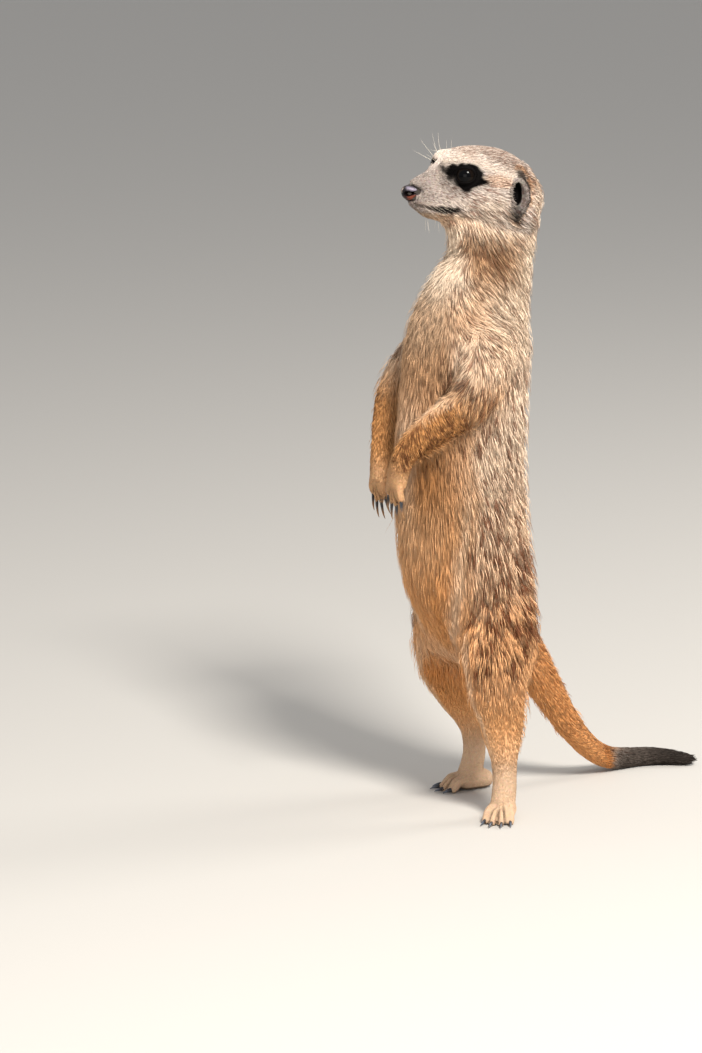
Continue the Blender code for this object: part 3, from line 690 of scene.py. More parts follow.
def face_markings(place):
    """The same columns on the head, from places in its own axes."""
    aside, back, up = np.abs(place[:, 0]), place[:, 1], place[:, 2]
    rough = noise(place / (1.6, 2.6, 1.6), 5)
    wide = noise(place / 6, 6)
    over = up - np.interp(back, *np.array(CROWN_EDGE_MM).T) + 3 * (wide - 0.5)
    crown = rise(-2.5, 2.0, over) * rise(15, 24, back)
    stripe = bell(up - np.interp(back, *np.array(BROW_STRIPE_MM).T), 2.4) * (aside > 4)
    stripe *= rise(12, 20, back) * rise(54, 47, back)
    throat = rise(1.5, -1.5, up - np.interp(back, *np.array(JAW_EDGE_MM).T) + 3 * (wide - 0.5))
    nape = rise(57, 62, back)
    tip = rise(21, 8, back)
    far = aside > 12
    ear = within(back, up, EAR_MM, EAR_EDGE_MM)
    rear = rise(-2.0, 1.0, back - EAR_MM[0] + 0.25 * np.maximum(EAR_MM[1] - up, 0))
    band = rise(1.40, 1.54, ear) * rise(1.90, 1.62, ear) * rear * far
    spread = np.hypot((back - 42.0) / 7.5, (up - 7.8 + 0.18 * (back - 42)) / 2.9)
    cheek_brown = rise(1.4, 0.6, spread) * (aside > 10)
    jaw = bell(np.hypot((back - 26) / 12, (up + 12.0) / 3.0), 1)
    chin = rise(-6.5, -10, up) * rise(34, 14, back)
    low_cheek = bell(np.hypot((back - 38) / 12, (up + 6) / 7), 1)
    dashes = noise(np.stack([aside / 1.5, (back - 0.5 * up) / 3.2, (up + 0.4 * back) / 1.1], 1), 9)

    ochre = (
        0.04 + 0.14 * crown + 0.12 * chin + 0.06 * throat + 0.04 * nape + 0.20 * band + 0.30 * cheek_brown
    )
    ochre += 0.08 * jaw
    rust = (
        0.12 * crown + 0.02 * chin + 0.03 * throat + 0.11 * band + 0.16 * cheek_brown + 0.04 * tip
        + 0.03 * jaw
    )
    grey = (
        0.88 - 0.20 * crown - 0.80 * chin - 0.80 * throat - 0.62 * nape - 0.75 * band - 0.40 * cheek_brown
    )
    grey -= 0.6 * jaw + 0.5 * low_cheek + 0.25 * stripe
    likely = (
        0.06 + 0.52 * crown + 0.20 * tip + 0.45 * cheek_brown + 0.10 * nape + 0.14 * throat + 0.25 * band
    )
    likely += rise(0.56, 0.72, dashes) * (0.85 * rise(10, 4, up) * rise(14, 22, back))
    likely *= 1 - 0.9 * stripe
    slant = up + 0.33 * back
    rows = np.cos((slant - 4.4) * 2 * math.pi / 1.7)
    beads = np.cos(back * 2 * math.pi / 2.3 + 2 * np.floor(slant / 1.7))
    spots = rise(0.15, 0.75, rows * 0.5 + 0.5 * beads)
    pads = rise(1.2, 0.8, np.hypot((back - 14) / 7.0, (up + 0.8 + 0.33 * (back - 14)) / 3.0)) * (aside > 3)
    dark = np.maximum(0.72 * pads * spots, 0.45 * tip * (0.6 + 0.8 * rough))
    dark = np.maximum(dark, 0.26 * crown * (0.4 + 1.2 * rough) * (1 - stripe))

    ragged = 0.22 * (rough - 0.5) + 0.08 * (wide - 0.5)
    inside = within(back, up, EYE_PATCH_MM, EYE_PATCH_EDGE_MM) + ragged
    eye_patch = rise(1.20, 0.92, inside) * (1 - 0.25 * rise(24, 21, back) * rise(11, 8, up))
    angle, distance = eye_angle(aside, back, up)
    lids = rise(64, 52, angle) * (distance < 8.5)
    black = np.maximum(eye_patch, lids) * (aside > 4.5)
    corner = np.hypot(np.maximum(np.abs(back - 17.4) - 1.9, 0), up - 14.6 + 0.25 * (back - 17.4))
    black = np.maximum(black, rise(1.8, 1.0, corner + 0.8 * (rough - 0.5)) * (place[:, 0] < -4.0))
    shade = rise(1.5, 0.85, np.hypot((back - 22.0) / 6.0, (up - 6.5) / 5.0)) * (aside > 5)
    halo = rise(1.55, 1.10, inside) * (aside > 5)
    dark = np.maximum(dark, np.maximum(0.46 * shade, 0.34 * halo) * (0.5 + 0.7 * rough))

    gap = up - mouth_level(back)
    ends = rise(MOUTH_END_MM + 2.5, MOUTH_END_MM - 1.5, back) * (back > 1)
    thick = 0.85 + 0.70 * rise(10, 17, back)
    lip = rise(1.5, 0.9, np.abs(gap - 0.1 + 1.1 * (rough - 0.5)) / thick) * ends
    black = np.maximum(black, (0.55 + 0.40 * rise(8, 14, back)) * lip)
    rust = rust + 0.8 * bell(gap - 0.3, 1.8) * ends * rise(20, 11, back)
    black = np.maximum(black, 0.8 * bell(aside, 0.9) * (up < 0) * (gap > 0) * (back < 8))
    black = np.maximum(black, 0.9 * rise(1.06, 0.96, within(back, up, NOSE_PAD_MM, NOSE_PAD_EDGE_MM)))

    # Painted shade inside the ear's opening, and a painted shadow behind its rim.
    opening = rise(1.15, 0.95, in_opening(back, up)) * far
    rim = rise(1.10, 1.0, ear) * far
    behind = rise(1.62, 1.36, ear + 0.25 * (rough - 0.5)) * rise(0.98, 1.08, ear) * rear * far
    under = rise(1.2, 0.6, np.hypot((back - 50.6) / 2.5, (up + 5.6) / 3.4)) * far
    striped = 0.46 + 0.30 * noise(place / (3.0, 0.5, 1.2), 8)
    black = np.maximum.reduce([black, opening, striped * rim * (1 - opening), 0.90 * behind, 0.80 * under])
    grey = np.where(rim > 0.4, 0.9, grey)
    black = np.maximum(black, dark * 0.9)
    return np.clip(np.stack([ochre, rust, grey, likely], 1), 0, 1), black


# ------------------------------------------------------------------------------------------------- the coat
def scattered(body, dense, rng):
    """Evenly scattered roots on the skin: the triangle and the share of its corners at each."""
    area = body.areas()
    wanted = np.cumsum(area * dense[body.triangles].mean(1))
    total = int(wanted[-1])
    found = np.searchsorted(wanted, np.arange(total) + rng.random(total))
    found = np.minimum(found, len(area) - 1)
    r1, r2 = np.sqrt(rng.random(total)), rng.random(total)
    return found, np.stack([1 - r1, r1 * (1 - r2), r1 * r2], 1)


def at_roots(body, values, found, shares):
    values = values.reshape(len(body.co), -1)
    return (values[body.triangles[found]] * shares[:, :, None]).sum(1)


def tufts(root, normal, lie, length, width, height, bend, settle, end_normal, gather_to, gather):
    """Points and faces of tapering tufts of three sides, which leave the skin and lie along the body."""
    side = unit(np.cross(lie, normal))
    bent = side * (bend * length)[:, None]
    tip = root + lie * length[:, None] + settle + end_normal * height[:, None] + bent
    pull = (gather_to - tip) * gather[:, None]
    sink = 0.35 * MM
    spine = []
    for t in (0.0, 0.5, 1.0):
        up = unit(normal * (1 - t) + end_normal * t)
        lift = height * (1 - (1 - t) ** 2.2) - sink * (1 - t)
        spot = root + lie * (length * t)[:, None] + settle * t * t + up * lift[:, None]
        spine.append(spot + bent * t * t + pull * t**1.6)
    points = np.empty((len(root), 7, 3))
    for k in range(2):
        way = unit(spine[k + 1] - spine[k])
        flat = unit(np.cross(way, normal))
        top = np.cross(flat, way)
        broad = (width * (0.85, 1.0)[k])[:, None]
        points[:, 3 * k] = spine[k] - flat * broad / 2
        points[:, 3 * k + 1] = spine[k] + flat * broad / 2
        points[:, 3 * k + 2] = spine[k] + top * broad * 0.45
    points[:, 6] = spine[2]
    base = (np.arange(len(root)) * 7)[:, None, None]
    quads = (base + np.array(((0, 1, 4, 3), (1, 2, 5, 4), (2, 0, 3, 5)))).reshape(-1, 4)
    ends = (base + np.array(((2, 1, 0), (3, 4, 6), (4, 5, 6), (5, 3, 6)))).reshape(-1, 3)
    along = np.array((0, 0, 0, 0.5, 0.5, 0.5, 1.0))
    across = np.array((0, 1, 0.5, 0, 1, 0.5, 0.5))
    return points, quads, ends, along, across


def unrolled(points, axis, middle_point):
    """A place from 0 to 1 on an unrolling of the surface about an axis, for each point."""
    axis = unit(axis)
    first = unit(np.cross(axis, (0.3, 1.0, 0.2)))
    second = np.cross(axis, first)
    apart = points - middle_point
    turn = np.arctan2(apart @ second, apart @ first) / (2 * math.pi) + 0.5
    along = apart @ axis
    place = np.stack([turn, along], 1)
    low, high = place.min(0), place.max(0)
    return 0.01 + 0.975 * (place - low) / (high - low)


def nearest_of(points, chosen):
    """For each point, the index of the nearest of the chosen points."""
    tree = KDTree(len(chosen))
    for i in chosen:
        tree.insert(points[i], int(i))
    tree.balance()
    return np.array([tree.find(p)[1] for p in points])


TUFT_TRIANGLES = 10
PATCH = 0.003  # size of a tuft's patch on its piece's map
STRAY_SHARE = 0.09  # of tufts that stand out of the coat
LEADER_SHARE = 0.13  # of tufts that others gather to
LONE_SHARE = 0.20  # of tufts whose dark band doesn't follow their leader's
GATHER_REACH = 5 * MM  # how near its leader a tuft has to be to gather


def darkened(likely, chance):
    """How dark hair is, where it is dark with the given likelihood and chance is spread round a half."""
    edge = 0.5 - 0.42 * (likely - 0.5)
    return rise(-0.03, 0.07, chance - edge) * rise(0.0, 0.08, likely)


def settled(body, spots):
    """The nearest places of the skin to some spots, and the way out of the skin there."""
    tree = BVHTree.FromPolygons(body.co.tolist(), body.triangles.tolist())
    found = [tree.find_nearest(spot)[:2] for spot in spots.tolist()]
    return np.array([f[0][:] for f in found]), np.array([f[1][:] for f in found])


def across_middle(name, points):
    """How far to the left of the middle of a halved piece its points lie."""
    return in_head(points)[:, 0] if name == "head" else points[:, 0] - middle(name)[0]


def grow_coat(body, skin_fields, settings, material):
    """All tufts of the coat, as several pieces that ride on the body."""
    rng = np.random.default_rng(settings.seed)
    fields, lie_field, shares_field = skin_fields
    column = {name: fields[:, i] for i, name in enumerate(COAT_FIELDS)}
    dense = column["dense"].copy()
    area = body.areas()
    dense *= settings.triangles / (TUFT_TRIANGLES * dense[body.triangles].mean(1) @ area)
    found, parts = scattered(body, dense, rng)
    root = at_roots(body, body.co, found, parts)
    normal = unit(at_roots(body, body.normals(), found, parts))
    share = at_roots(body, shares_field, found, parts)
    at = {name: at_roots(body, column[name], found, parts)[:, 0] for name in COAT_FIELDS}
    lie = at_roots(body, lie_field, found, parts)
    keep = bare_skin(root, normal, share) < 0.5
    root, normal, share, lie = root[keep], normal[keep], share[keep], lie[keep]
    owner = share.argmax(1)
    at = {name: values[keep] for name, values in at.items()}
    count = len(root)
    colours, black = markings(root + unit(lie) * at["length"][:, None] * 0.45 * MM, normal, share)
    on_head = share[:, NAMES.index("head")] > 0.5
    calm = rise(0.16, 0.02, colours[:, 3]) * ~on_head

    swirl = (noise(root / MM / 9, 11) - 0.5) * 0.8 + rng.normal(0, 0.09, count) * (1 - 0.4 * calm)
    lie = unit(lie - normal * (lie * normal).sum(1)[:, None])
    lie = unit(lie + np.cross(normal, lie) * swirl[:, None] * 0.55)
    length = at["length"] * MM * rng.uniform(0.72, 1.2, count) * settings.length_share
    height = at["depth"] * MM * rng.uniform(0.45, 1.0, count) * (1 - 0.2 * calm)
    stray = (rng.random(count) < STRAY_SHARE) & (at["depth"] > 1.2)
    height = np.where(stray, height * 1.6 + 0.4 * at["depth"] * MM, height)
    length = np.where(stray, length * 1.15, length)
    width = at["width"] * MM * rng.uniform(0.75, 1.25, count)
    bend = rng.normal(0, 0.05, count)
    tone = 0.5 + (rng.random(count) - 0.5) * (1 - 0.55 * calm)

    flat_tip = root + lie * length[:, None]
    ground, end_normal = settled(body, flat_tip)
    settle = ground - flat_tip
    far_off = np.linalg.norm(settle, axis=1) > 0.45 * length
    settle[far_off] = 0
    end_normal = np.where((far_off | ((end_normal * normal).sum(1) < 0.3))[:, None], normal, end_normal)
    tip = flat_tip + settle + end_normal * height[:, None]
    leaders = np.flatnonzero(rng.random(count) < LEADER_SHARE)
    lead = nearest_of(root + lie * length[:, None] * 0.3, leaders)
    reach = np.linalg.norm(root[lead] - root, axis=1)
    alike = (lie[lead] * lie).sum(1) > 0.5
    gather = at["gather"] * rng.uniform(0.4, 1.0, count) * (reach < GATHER_REACH) * alike
    gather = np.where(stray, 0.3 * gather, gather)
    dashes = noise(root / MM / (2.0, 2.0, 5.0), 1)
    chance = 0.6 * dashes + 0.4 * rng.random(count)
    clump = darkened(colours[:, 3], chance[lead])
    alone = darkened(colours[:, 3], rng.random(count) * 0.5 + 0.25)
    strength = np.interp(root[:, 2] / MM, (110, 200, 250), (0.96, 0.82, 0.70))
    lone = (rng.random(count) < LONE_SHARE) | on_head
    colours[:, 3] = np.where(lone, alone, clump) * np.where(on_head, 0.66, strength)
    measures = (root, normal, lie, length, width, height, bend, settle, end_normal, tip[lead], gather)
    made = []
    for name, (stretches, axis) in COAT_PIECES.items():
        inside = np.isin(owner, [NAMES.index(s) for s in stretches])
        for word, side in SIDES if name in HALVED else (("", 0),):
            half = (across_middle(name, root) > 0) == (side > 0) if side else True
            here = np.flatnonzero(inside & half)
            places = unrolled(root[here], axis, root[here].mean(0))
            shape = tufts(*(values[here] for values in measures))
            paint = (colours[here], black[here], tone[here])
            made.append(coat_piece(f"coat_{name}_{word}".rstrip("_"), shape, places, *paint, material))
    return made


def coat_piece(name, shape, places, colours, black, tone, material):
    spots, four, three, along, across = shape
    size = spots.shape[1]
    points = spots.reshape(-1, 3)
    points[:, 2] = np.maximum(points[:, 2], CAD_BOX[0][2] + 0.1 * MM)  # clear of the floor
    obj = mesh_object(name, points, [four, three], [material])
    painted(obj.data, "zones", np.repeat(colours, size, axis=0))
    strand = np.ones((len(spots), size, 4))
    strand[:, :, 0] = along
    strand[:, :, 1] = tone[:, None]
    strand[:, :, 2] = black[:, None]
    painted(obj.data, "strand", strand.reshape(-1, 4))
    patches = (places[:, None] + np.stack([across, along], 1)[None] * PATCH).reshape(-1, 2)
    corner = np.empty(len(obj.data.loops), np.int32)
    obj.data.loops.foreach_get("vertex_index", corner)
    layer = obj.data.uv_layers.new(name="OFBake")
    layer.uv.foreach_set("vector", patches[corner].astype(np.float32).ravel())
    return obj


def bare_skin(points, normals, shares):
    """1 where no hair grows: soles, lips, lids, inside the ears and at the nose."""
    place = in_head(points)
    aside, back, up = np.abs(place[:, 0]), place[:, 1], place[:, 2]
    share = by_stretch(shares)
    head = share["head"] > 0.5
    feet = both(share, "foot") > 0.5
    z = points[:, 2] / MM
    sole = feet & (normals[:, 2] < -0.55) & (z < 5)
    angle, distance = eye_angle(aside, back, up)
    lids = head & (distance < 8.5) & (angle < 54)
    lips = head & (np.abs(up - mouth_level(back)) < 0.35) & (back < MOUTH_END_MM)
    nose = head & ((within(back, up, NOSE_PAD_MM, NOSE_PAD_EDGE_MM) < 1.0) | (back < 2.0)) & (up > -2.8)
    ears = head & (aside > 12) & (in_opening(back, up) < 1.1)
    return (sole | lids | lips | nose | ears).astype(float)


def fitted_to_places(body, fields, shares):
    """Changes the coat's depth, length, width and density where one stretch holds several kinds of hair."""
    place = in_head(body.co)
    aside, back, up = np.abs(place[:, 0]), place[:, 1], place[:, 2]
    share = by_stretch(shares)
    head, trunk = share["head"], share["chest"] + share["abdomen"]
    normals = body.blurred(body.normals(), 12)
    front = rise(-0.1, -0.7, normals[:, 1])
    muzzle = rise(26, 8, back) * head
    nape = rise(46, 70, back) * head
    jaw = rise(-1, -10, up) * rise(20, 34, back) * head
    cheek = bell(np.hypot((back - 37) / 11, (up + 3) / 7), 1) * head
    ear = rise(1.45, 1.2, within(back, up, EAR_MM, EAR_EDGE_MM)) * (aside > 13) * head
    _, distance = eye_angle(aside, back, up)
    round_eye = rise(9.5, 7.0, distance) * head
    legs = sum(share[f"{p}_{s}"] for p in ("thigh", "shank") for s, _ in SIDES)
    fore, shanks = both(share, "forearm"), both(share, "shank")
    y, z = (body.co[:, 1:] / MM).T
    feather = legs * bell((z - 48) / 16, 1) * rise(0.1, 0.7, normals[:, 1])
    fringe = fore * rise(0.1, 0.7, 0.75 * normals[:, 1] - 0.65 * normals[:, 2]) * rise(150, 166, z)
    collar = rise(196, 226, z) * trunk
    tail_end = share["tail_tip"] * rise(72, 92, y)
    hem = rise(122, 96, z) * trunk * front
    ankle = shanks * rise(64, 36, z)
    depth, length, width, dense, gather = fields.T
    depth = depth * (1 - 0.45 * muzzle) * (1 + 0.5 * nape + 1.0 * jaw + 0.5 * cheek)
    depth = depth * (1 - 0.25 * front * trunk) * (1 + 1.8 * feather + 0.45 * fringe)
    depth = depth * (1 - 0.16 * collar) * (1 - 0.5 * hem) * (1 - 0.5 * ankle)
    length = length * (1 - 0.52 * muzzle) * (1 + 1.0 * nape + 1.2 * jaw + 0.9 * cheek)
    length = length * (1 + 0.25 * front * trunk) * (1 + 0.9 * feather + 0.35 * fringe)
    length = length * (1 - 0.10 * collar) * (1 - 0.35 * hem) * (1 - 0.45 * ankle)
    width = width * (1 - 0.34 * muzzle) * (1 + 0.15 * nape)
    width = width * (1 - 0.25 * front * trunk) * (1 - 0.16 * collar)
    dense = dense * (1 + 0.5 * muzzle) * (1 - 0.15 * jaw) * (1 + 0.30 * front * trunk) * (1 + 0.25 * collar)
    gather = gather * (1 + 0.3 * front * trunk + 0.3 * cheek)
    small = np.maximum(ear, round_eye)
    depth, length, width = depth * (1 - 0.6 * small), length * (1 - 0.60 * small), width * (1 - 0.4 * small)
    dense = dense * (1 + 0.8 * small)
    length = length * (1 - 0.35 * tail_end)
    return np.stack([depth, length, width, dense, np.minimum(gather, 0.9)], 1)


def lie_of_hair(body, shares, ways):
    """The way the hair lies at each vertex, along the body."""
    lie = shares @ ways
    normals = body.blurred(body.normals(), 6)
    place = in_head(body.co)
    aside, back, up = place.T
    share = by_stretch(shares)
    head, neck = share["head"], share["neck"]
    spread = np.sign(aside)[:, None] * ASIDE * 0.25 + BACK
    lie = lie + (head * rise(26, 4, back))[:, None] * (spread - UP * 0.15)
    cheek = head * rise(4, -10, up) * rise(18, 34, back)
    lie = lie - cheek[:, None] * UP * 0.75
    lie = lie - (head * rise(55, 66, back))[:, None] * UP * 1.2
    sides = rise(0.3, 0.8, np.abs(normals[:, 0]))
    behind = rise(0.0, 0.6, normals[:, 1])
    y, z = (body.co[:, 1:] / MM).T
    chest, upper = share["chest"], both(share, "upper_arm")
    below_jaw = neck * rise(258, 272, z) * sides * (1 - behind)
    lie[:, 1] += 0.5 * below_jaw + 0.40 * neck * behind
    over = bell((z - 244) / 20, 1) * rise(-68, -56, y) * rise(-20, -48, y) * sides * (chest + upper + neck)
    lie = lie + over[:, None] * np.array((0, 1.3, 0.05))
    lie[:, 1] += chest * rise(225, 195, z) * 0.10 * (1 - behind)
    for word, _ in SIDES:
        toes = share[f"foot_{word}"] * rise(14, 6, z)
        lie = lie + toes[:, None] * unit(FOOT_LIE[word] * (1, 1, 0)) * 3
        fore = share[f"forearm_{word}"]
        lie[:, 1] += 0.5 * fore * rise(0.1, 0.7, 0.75 * normals[:, 1] - 0.65 * normals[:, 2])
    feather = sum(share[f"{p}_{s}"] for s, _ in SIDES for p in ("thigh", "shank"))
    lie[:, 1] += 0.6 * feather * bell((z - 48) / 16, 1) * behind
    lie = body.blurred(unit(lie), 12)
    return unit(lie - normals * (lie * normals).sum(1)[:, None])


# ------------------------------------------------------------------------------------------------ materials
def fresh_material(name):
    material = bpy.data.materials.new(name)
    material.use_nodes = True
    tree = material.node_tree
    return material, tree.nodes, tree.links, tree.nodes["Principled BSDF"]


def opaque(colour, share=1.0):
    return (*(share * v for v in colour), 1)


class Maths:
    """Short ways to add nodes to a tree."""

    def __init__(self, tree):
        self.nodes, self.links = tree.nodes, tree.links

    def put(self, socket, value):
        if isinstance(value, bpy.types.NodeSocket):
            self.links.new(value, socket)
        else:
            socket.default_value = value

    def maths(self, operation, a, b=0.0, c=0.0):
        node = self.nodes.new("ShaderNodeMath")
        node.operation = operation
        for socket, value in zip(node.inputs, (a, b, c)):
            self.put(socket, value)
        return node.outputs[0]

    def ramp(self, value, low, high):
        node = self.nodes.new("ShaderNodeMapRange")
        node.interpolation_type = "SMOOTHSTEP"
        for name, given in (("Value", value), ("From Min", low), ("From Max", high)):
            self.put(node.inputs[name], given)
        return node.outputs["Result"]

    def mix(self, share, a, b, blend="MIX"):
        node = self.nodes.new("ShaderNodeMix")
        node.data_type, node.blend_type = "RGBA", blend
        self.put(node.inputs["Factor"], share)
        self.put(node.inputs["A"], a)
        self.put(node.inputs["B"], b)
        return node.outputs["Result"]

    def texture(self, kind, scale, detail=3.0):
        node = self.nodes.new(kind)
        node.inputs["Scale"].default_value = scale
        if "Detail" in node.inputs:
            node.inputs["Detail"].default_value = detail
        coordinates = self.nodes.new("ShaderNodeTexCoord")
        self.links.new(coordinates.outputs["Object"], node.inputs["Vector"])
        return node

    def attribute(self, name):
        node = self.nodes.new("ShaderNodeAttribute")
        node.attribute_name = name
        return node

    def bump(self, height, strength, distance):
        node = self.nodes.new("ShaderNodeBump")
        node.inputs["Strength"].default_value = strength
        node.inputs["Distance"].default_value = distance
        self.links.new(height, node.inputs["Height"])
        return node.outputs["Normal"]


def marked_colour(tree, colours):
    """The coat's colour from its zones and strands, as nodes that skin and coat share."""
    m = Maths(tree)
    zones = m.attribute("zones")
    strand = m.attribute("strand")
    zone = m.nodes.new("ShaderNodeSeparateColor")
    part = m.nodes.new("ShaderNodeSeparateColor")
    m.links.new(zones.outputs["Color"], zone.inputs[0])
    m.links.new(strand.outputs["Color"], part.inputs[0])
    along, tone, black = part.outputs
    colour = m.mix(zone.outputs[0], opaque(colours.cream), opaque(colours.tan))
    colour = m.mix(zone.outputs[1], colour, opaque(colours.rust))
    colour = m.mix(zone.outputs[2], colour, opaque(colours.frost))
    # Darker towards the roots of each tuft: short hair deep in the coat, and painted shade there.
    under = m.mix(m.maths("MULTIPLY_ADD", zone.outputs[2], -0.30, 0.45), colour, opaque(colours.underfur_and_root_shade))
    colour = m.mix(m.ramp(along, 0.05, 0.50), under, colour)
    pale_share = m.maths("MULTIPLY", m.ramp(along, 0.55, 1.0), m.ramp(tone, 0.25, 0.9))
    pale_share = m.maths("MULTIPLY", pale_share, m.maths("MULTIPLY_ADD", zone.outputs[0], -0.80, 0.90))
    pale = m.mix(pale_share, colour, opaque(colours.tips))
    end = m.maths("SUBTRACT", 1.0, m.maths("MULTIPLY", m.ramp(along, 0.66, 0.95), 0.8))
    band = m.maths("MULTIPLY", m.ramp(along, 0.10, 0.32), end)
    colour = m.mix(m.maths("MULTIPLY", zones.outputs["Alpha"], band), pale, opaque(colours.streak))
    bright = m.nodes.new("ShaderNodeHueSaturation")
    m.put(bright.inputs["Value"], m.maths("MULTIPLY_ADD", tone, 0.28, 0.86))
    m.put(bright.inputs["Color"], colour)
    return m, m.mix(black, bright.outputs[0], opaque(colours.black)), black


def coat_material(colours):
    material, _, links, shader = fresh_material("coat_hair")
    m, colour, black = marked_colour(material.node_tree, colours)
    links.new(colour, shader.inputs["Base Color"])
    shader.inputs["Roughness"].default_value = 0.58
    links.new(m.maths("MULTIPLY_ADD", black, -0.12, 0.15), shader.inputs["Specular IOR Level"])
    return material


def skin_material(colours):
    material, _, links, shader = fresh_material("skin_and_short_hair")
    m, colour, black = marked_colour(material.node_tree, colours)
    grain = m.texture("ShaderNodeTexNoise", 900.0, 4.0)
    shade = m.mix(0.35, colour, m.mix(1.0, colour, grain.outputs["Color"], "MULTIPLY"))
    links.new(shade, shader.inputs["Base Color"])
    shader.inputs["Roughness"].default_value = 0.65
    links.new(m.maths("MULTIPLY_ADD", black, -0.17, 0.20), shader.inputs["Specular IOR Level"])
    links.new(m.bump(grain.outputs["Fac"], 0.5, 0.25 * MM), shader.inputs["Normal"])
    return material


def eye_material(colours):
    material, _, links, shader = fresh_material("eye_wet")
    m = Maths(material.node_tree)
    gaze = m.attribute("gaze")
    fibre = m.texture("ShaderNodeTexNoise", 2500.0, 3.0)
    iris = m.mix(fibre.outputs["Fac"], opaque(colours.iris), opaque(colours.iris, 0.35))
    ring = m.mix(m.ramp(gaze.outputs["Fac"], 0.30, 0.36), (0.001, 0.001, 0.0015, 1), iris)
    colour = m.mix(m.ramp(gaze.outputs["Fac"], 0.46, 0.56), ring, opaque(colours.iris, 0.15))
    links.new(colour, shader.inputs["Base Color"])
    shader.inputs["Roughness"].default_value = 0.06
    shader.inputs["Specular IOR Level"].default_value = 0.11
    return material


def nose_material(colours):
    """Wet dark leather, reddish below, grey on top with a painted highlight there, and painted shade inside
    the nostrils, their side slits and the groove between them.
    """
    material, nodes, links, shader = fresh_material("nose_leather")
    m = Maths(material.node_tree)
    parts = m.attribute("parts")
    zone = nodes.new("ShaderNodeSeparateColor")
    links.new(parts.outputs["Color"], zone.inputs[0])
    cells = m.texture("ShaderNodeTexVoronoi", 3000.0)
    mottle = m.texture("ShaderNodeTexNoise", 900.0, 4.0)
    leather = m.mix(mottle.outputs["Fac"], opaque(colours.nose, 0.6), opaque(colours.nose, 1.5))
    red = m.maths("MULTIPLY", zone.outputs[1], m.maths("MULTIPLY_ADD", mottle.outputs["Fac"], 0.8, 0.3))
    leather = m.mix(red, leather, opaque(colours.nostril))
    # The pad's grey top, with a painted highlight along its upper rear edge.
    pale = m.maths("MULTIPLY", zone.outputs[2], m.maths("MULTIPLY_ADD", mottle.outputs["Fac"], 1.0, 0.25))
    leather = m.mix(pale, leather, opaque(colours.grey_top_and_sheen))
    # Painted shade inside the nostrils, their side slits and the groove between them.
    colour = m.mix(m.ramp(zone.outputs[0], 0.2, 0.7), leather, (0.002, 0.001, 0.001, 1))
    links.new(colour, shader.inputs["Base Color"])
    shader.inputs["Roughness"].default_value = 0.20
    gloss = m.maths("MULTIPLY_ADD", m.ramp(zone.outputs[0], 0.1, 0.5), -0.26, 0.27)
    links.new(gloss, shader.inputs["Specular IOR Level"])
    links.new(m.bump(cells.outputs["Distance"], 0.7, 0.12 * MM), shader.inputs["Normal"])
    return material


def claw_material(name, base, tip):
    """Horn that runs from one colour at the toe to another at the point, with fine grain."""
    material, _, links, shader = fresh_material(name)
    m = Maths(material.node_tree)
    along = m.attribute("length_share")
    grain = m.texture("ShaderNodeTexNoise", 1400.0, 4.0)
    share = m.maths("ADD", along.outputs["Fac"], m.maths("MULTIPLY_ADD", grain.outputs["Fac"], 0.3, -0.15))
    colour = m.mix(m.ramp(share, 0.15, 0.6), opaque(base), opaque(tip))
    links.new(m.mix(m.maths("MULTIPLY", grain.outputs["Fac"], 0.5), colour, opaque(base, 0.4)),
              shader.inputs["Base Color"])
    shader.inputs["Roughness"].default_value = 0.32
    links.new(m.bump(grain.outputs["Fac"], 0.3, 0.05 * MM), shader.inputs["Normal"])
    return material


# ---------------------------------------------------------------------------------------- small made pieces
def on_root(obj, slot, *nodes):
    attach(obj, "root")
    if nodes:
        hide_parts(*nodes)
    return obj


def ball(radius, turns, rows):
    """Points and faces of a ball whose pole is along +Z."""
    angle = np.linspace(0, math.pi, rows + 1)[1:-1]
    turn = np.arange(turns) * 2 * math.pi / turns
    rings = np.stack([
        np.outer(np.sin(angle), np.cos(turn)), np.outer(np.sin(angle), np.sin(turn)),
        np.outer(np.cos(angle), np.ones(turns)),
    ], -1).reshape(-1, 3)
    points = np.vstack([rings, (0, 0, 1), (0, 0, -1)]) * radius
    k = np.arange(turns)
    n = (k + 1) % turns
    quads = np.concatenate([
        np.stack([s + k, s + turns + k, s + turns + n, s + n], 1)
        for s in range(0, (rows - 2) * turns, turns)
    ])
    top, bottom = len(points) - 2, len(points) - 1
    last = (rows - 2) * turns
    ends = np.concatenate([
        np.stack([np.full(turns, top), k, n], 1), np.stack([np.full(turns, bottom), last + n, last + k], 1),
    ])
    return points, [quads, ends]


def build_eye(word, side, material):
    points, faces = ball(1.0, 48, 30)
    cosine = points[:, 2]
    bulge = 1 + 0.045 * rise(0.72, 1.0, cosine)
    gaze = unit(np.array(GAZE) * (side, 1, 1))
    forward = unit(gaze[0] * ASIDE + gaze[1] * BACK + gaze[2] * UP)
    first = unit(np.cross(UP, forward))
    second = np.cross(forward, first)
    points = points * bulge[:, None] * EYE_RADIUS * 0.985
    x, y, z = (points[:, k : k + 1] for k in range(3))
    world = middle(f"eye_{word}") + x * first + y * second + z * forward
    obj = mesh_object(f"eyeball_{word}", world, faces, [material])
    layer = obj.data.attributes.new("gaze", "FLOAT", "POINT")
    layer.data.foreach_set("value", (np.arccos(np.clip(cosine, -1, 1)) / (math.pi / 2)).astype(np.float32))
    return on_root(obj, "eye", f"eye_{word}")


def claw_curve(name, paw):
    """The claw's base, middle and tip and its radius at the base, from its solid."""
    points = np.array([v.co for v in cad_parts[name].data.vertices])
    away = np.linalg.norm(points - paw, axis=1)
    tip = points[away.argmax()]
    reach = np.linalg.norm(points - tip, axis=1)
    base = points[reach > 0.82 * reach.max()].mean(0)
    axis = unit(tip - base)
    along = (points - base) @ axis / np.linalg.norm(tip - base)
    centre = points[np.abs(along - 0.55) < 0.25].mean(0)
    radius = np.linalg.norm(np.cross(points - base, axis), axis=1).max()
    return base, centre, tip, radius


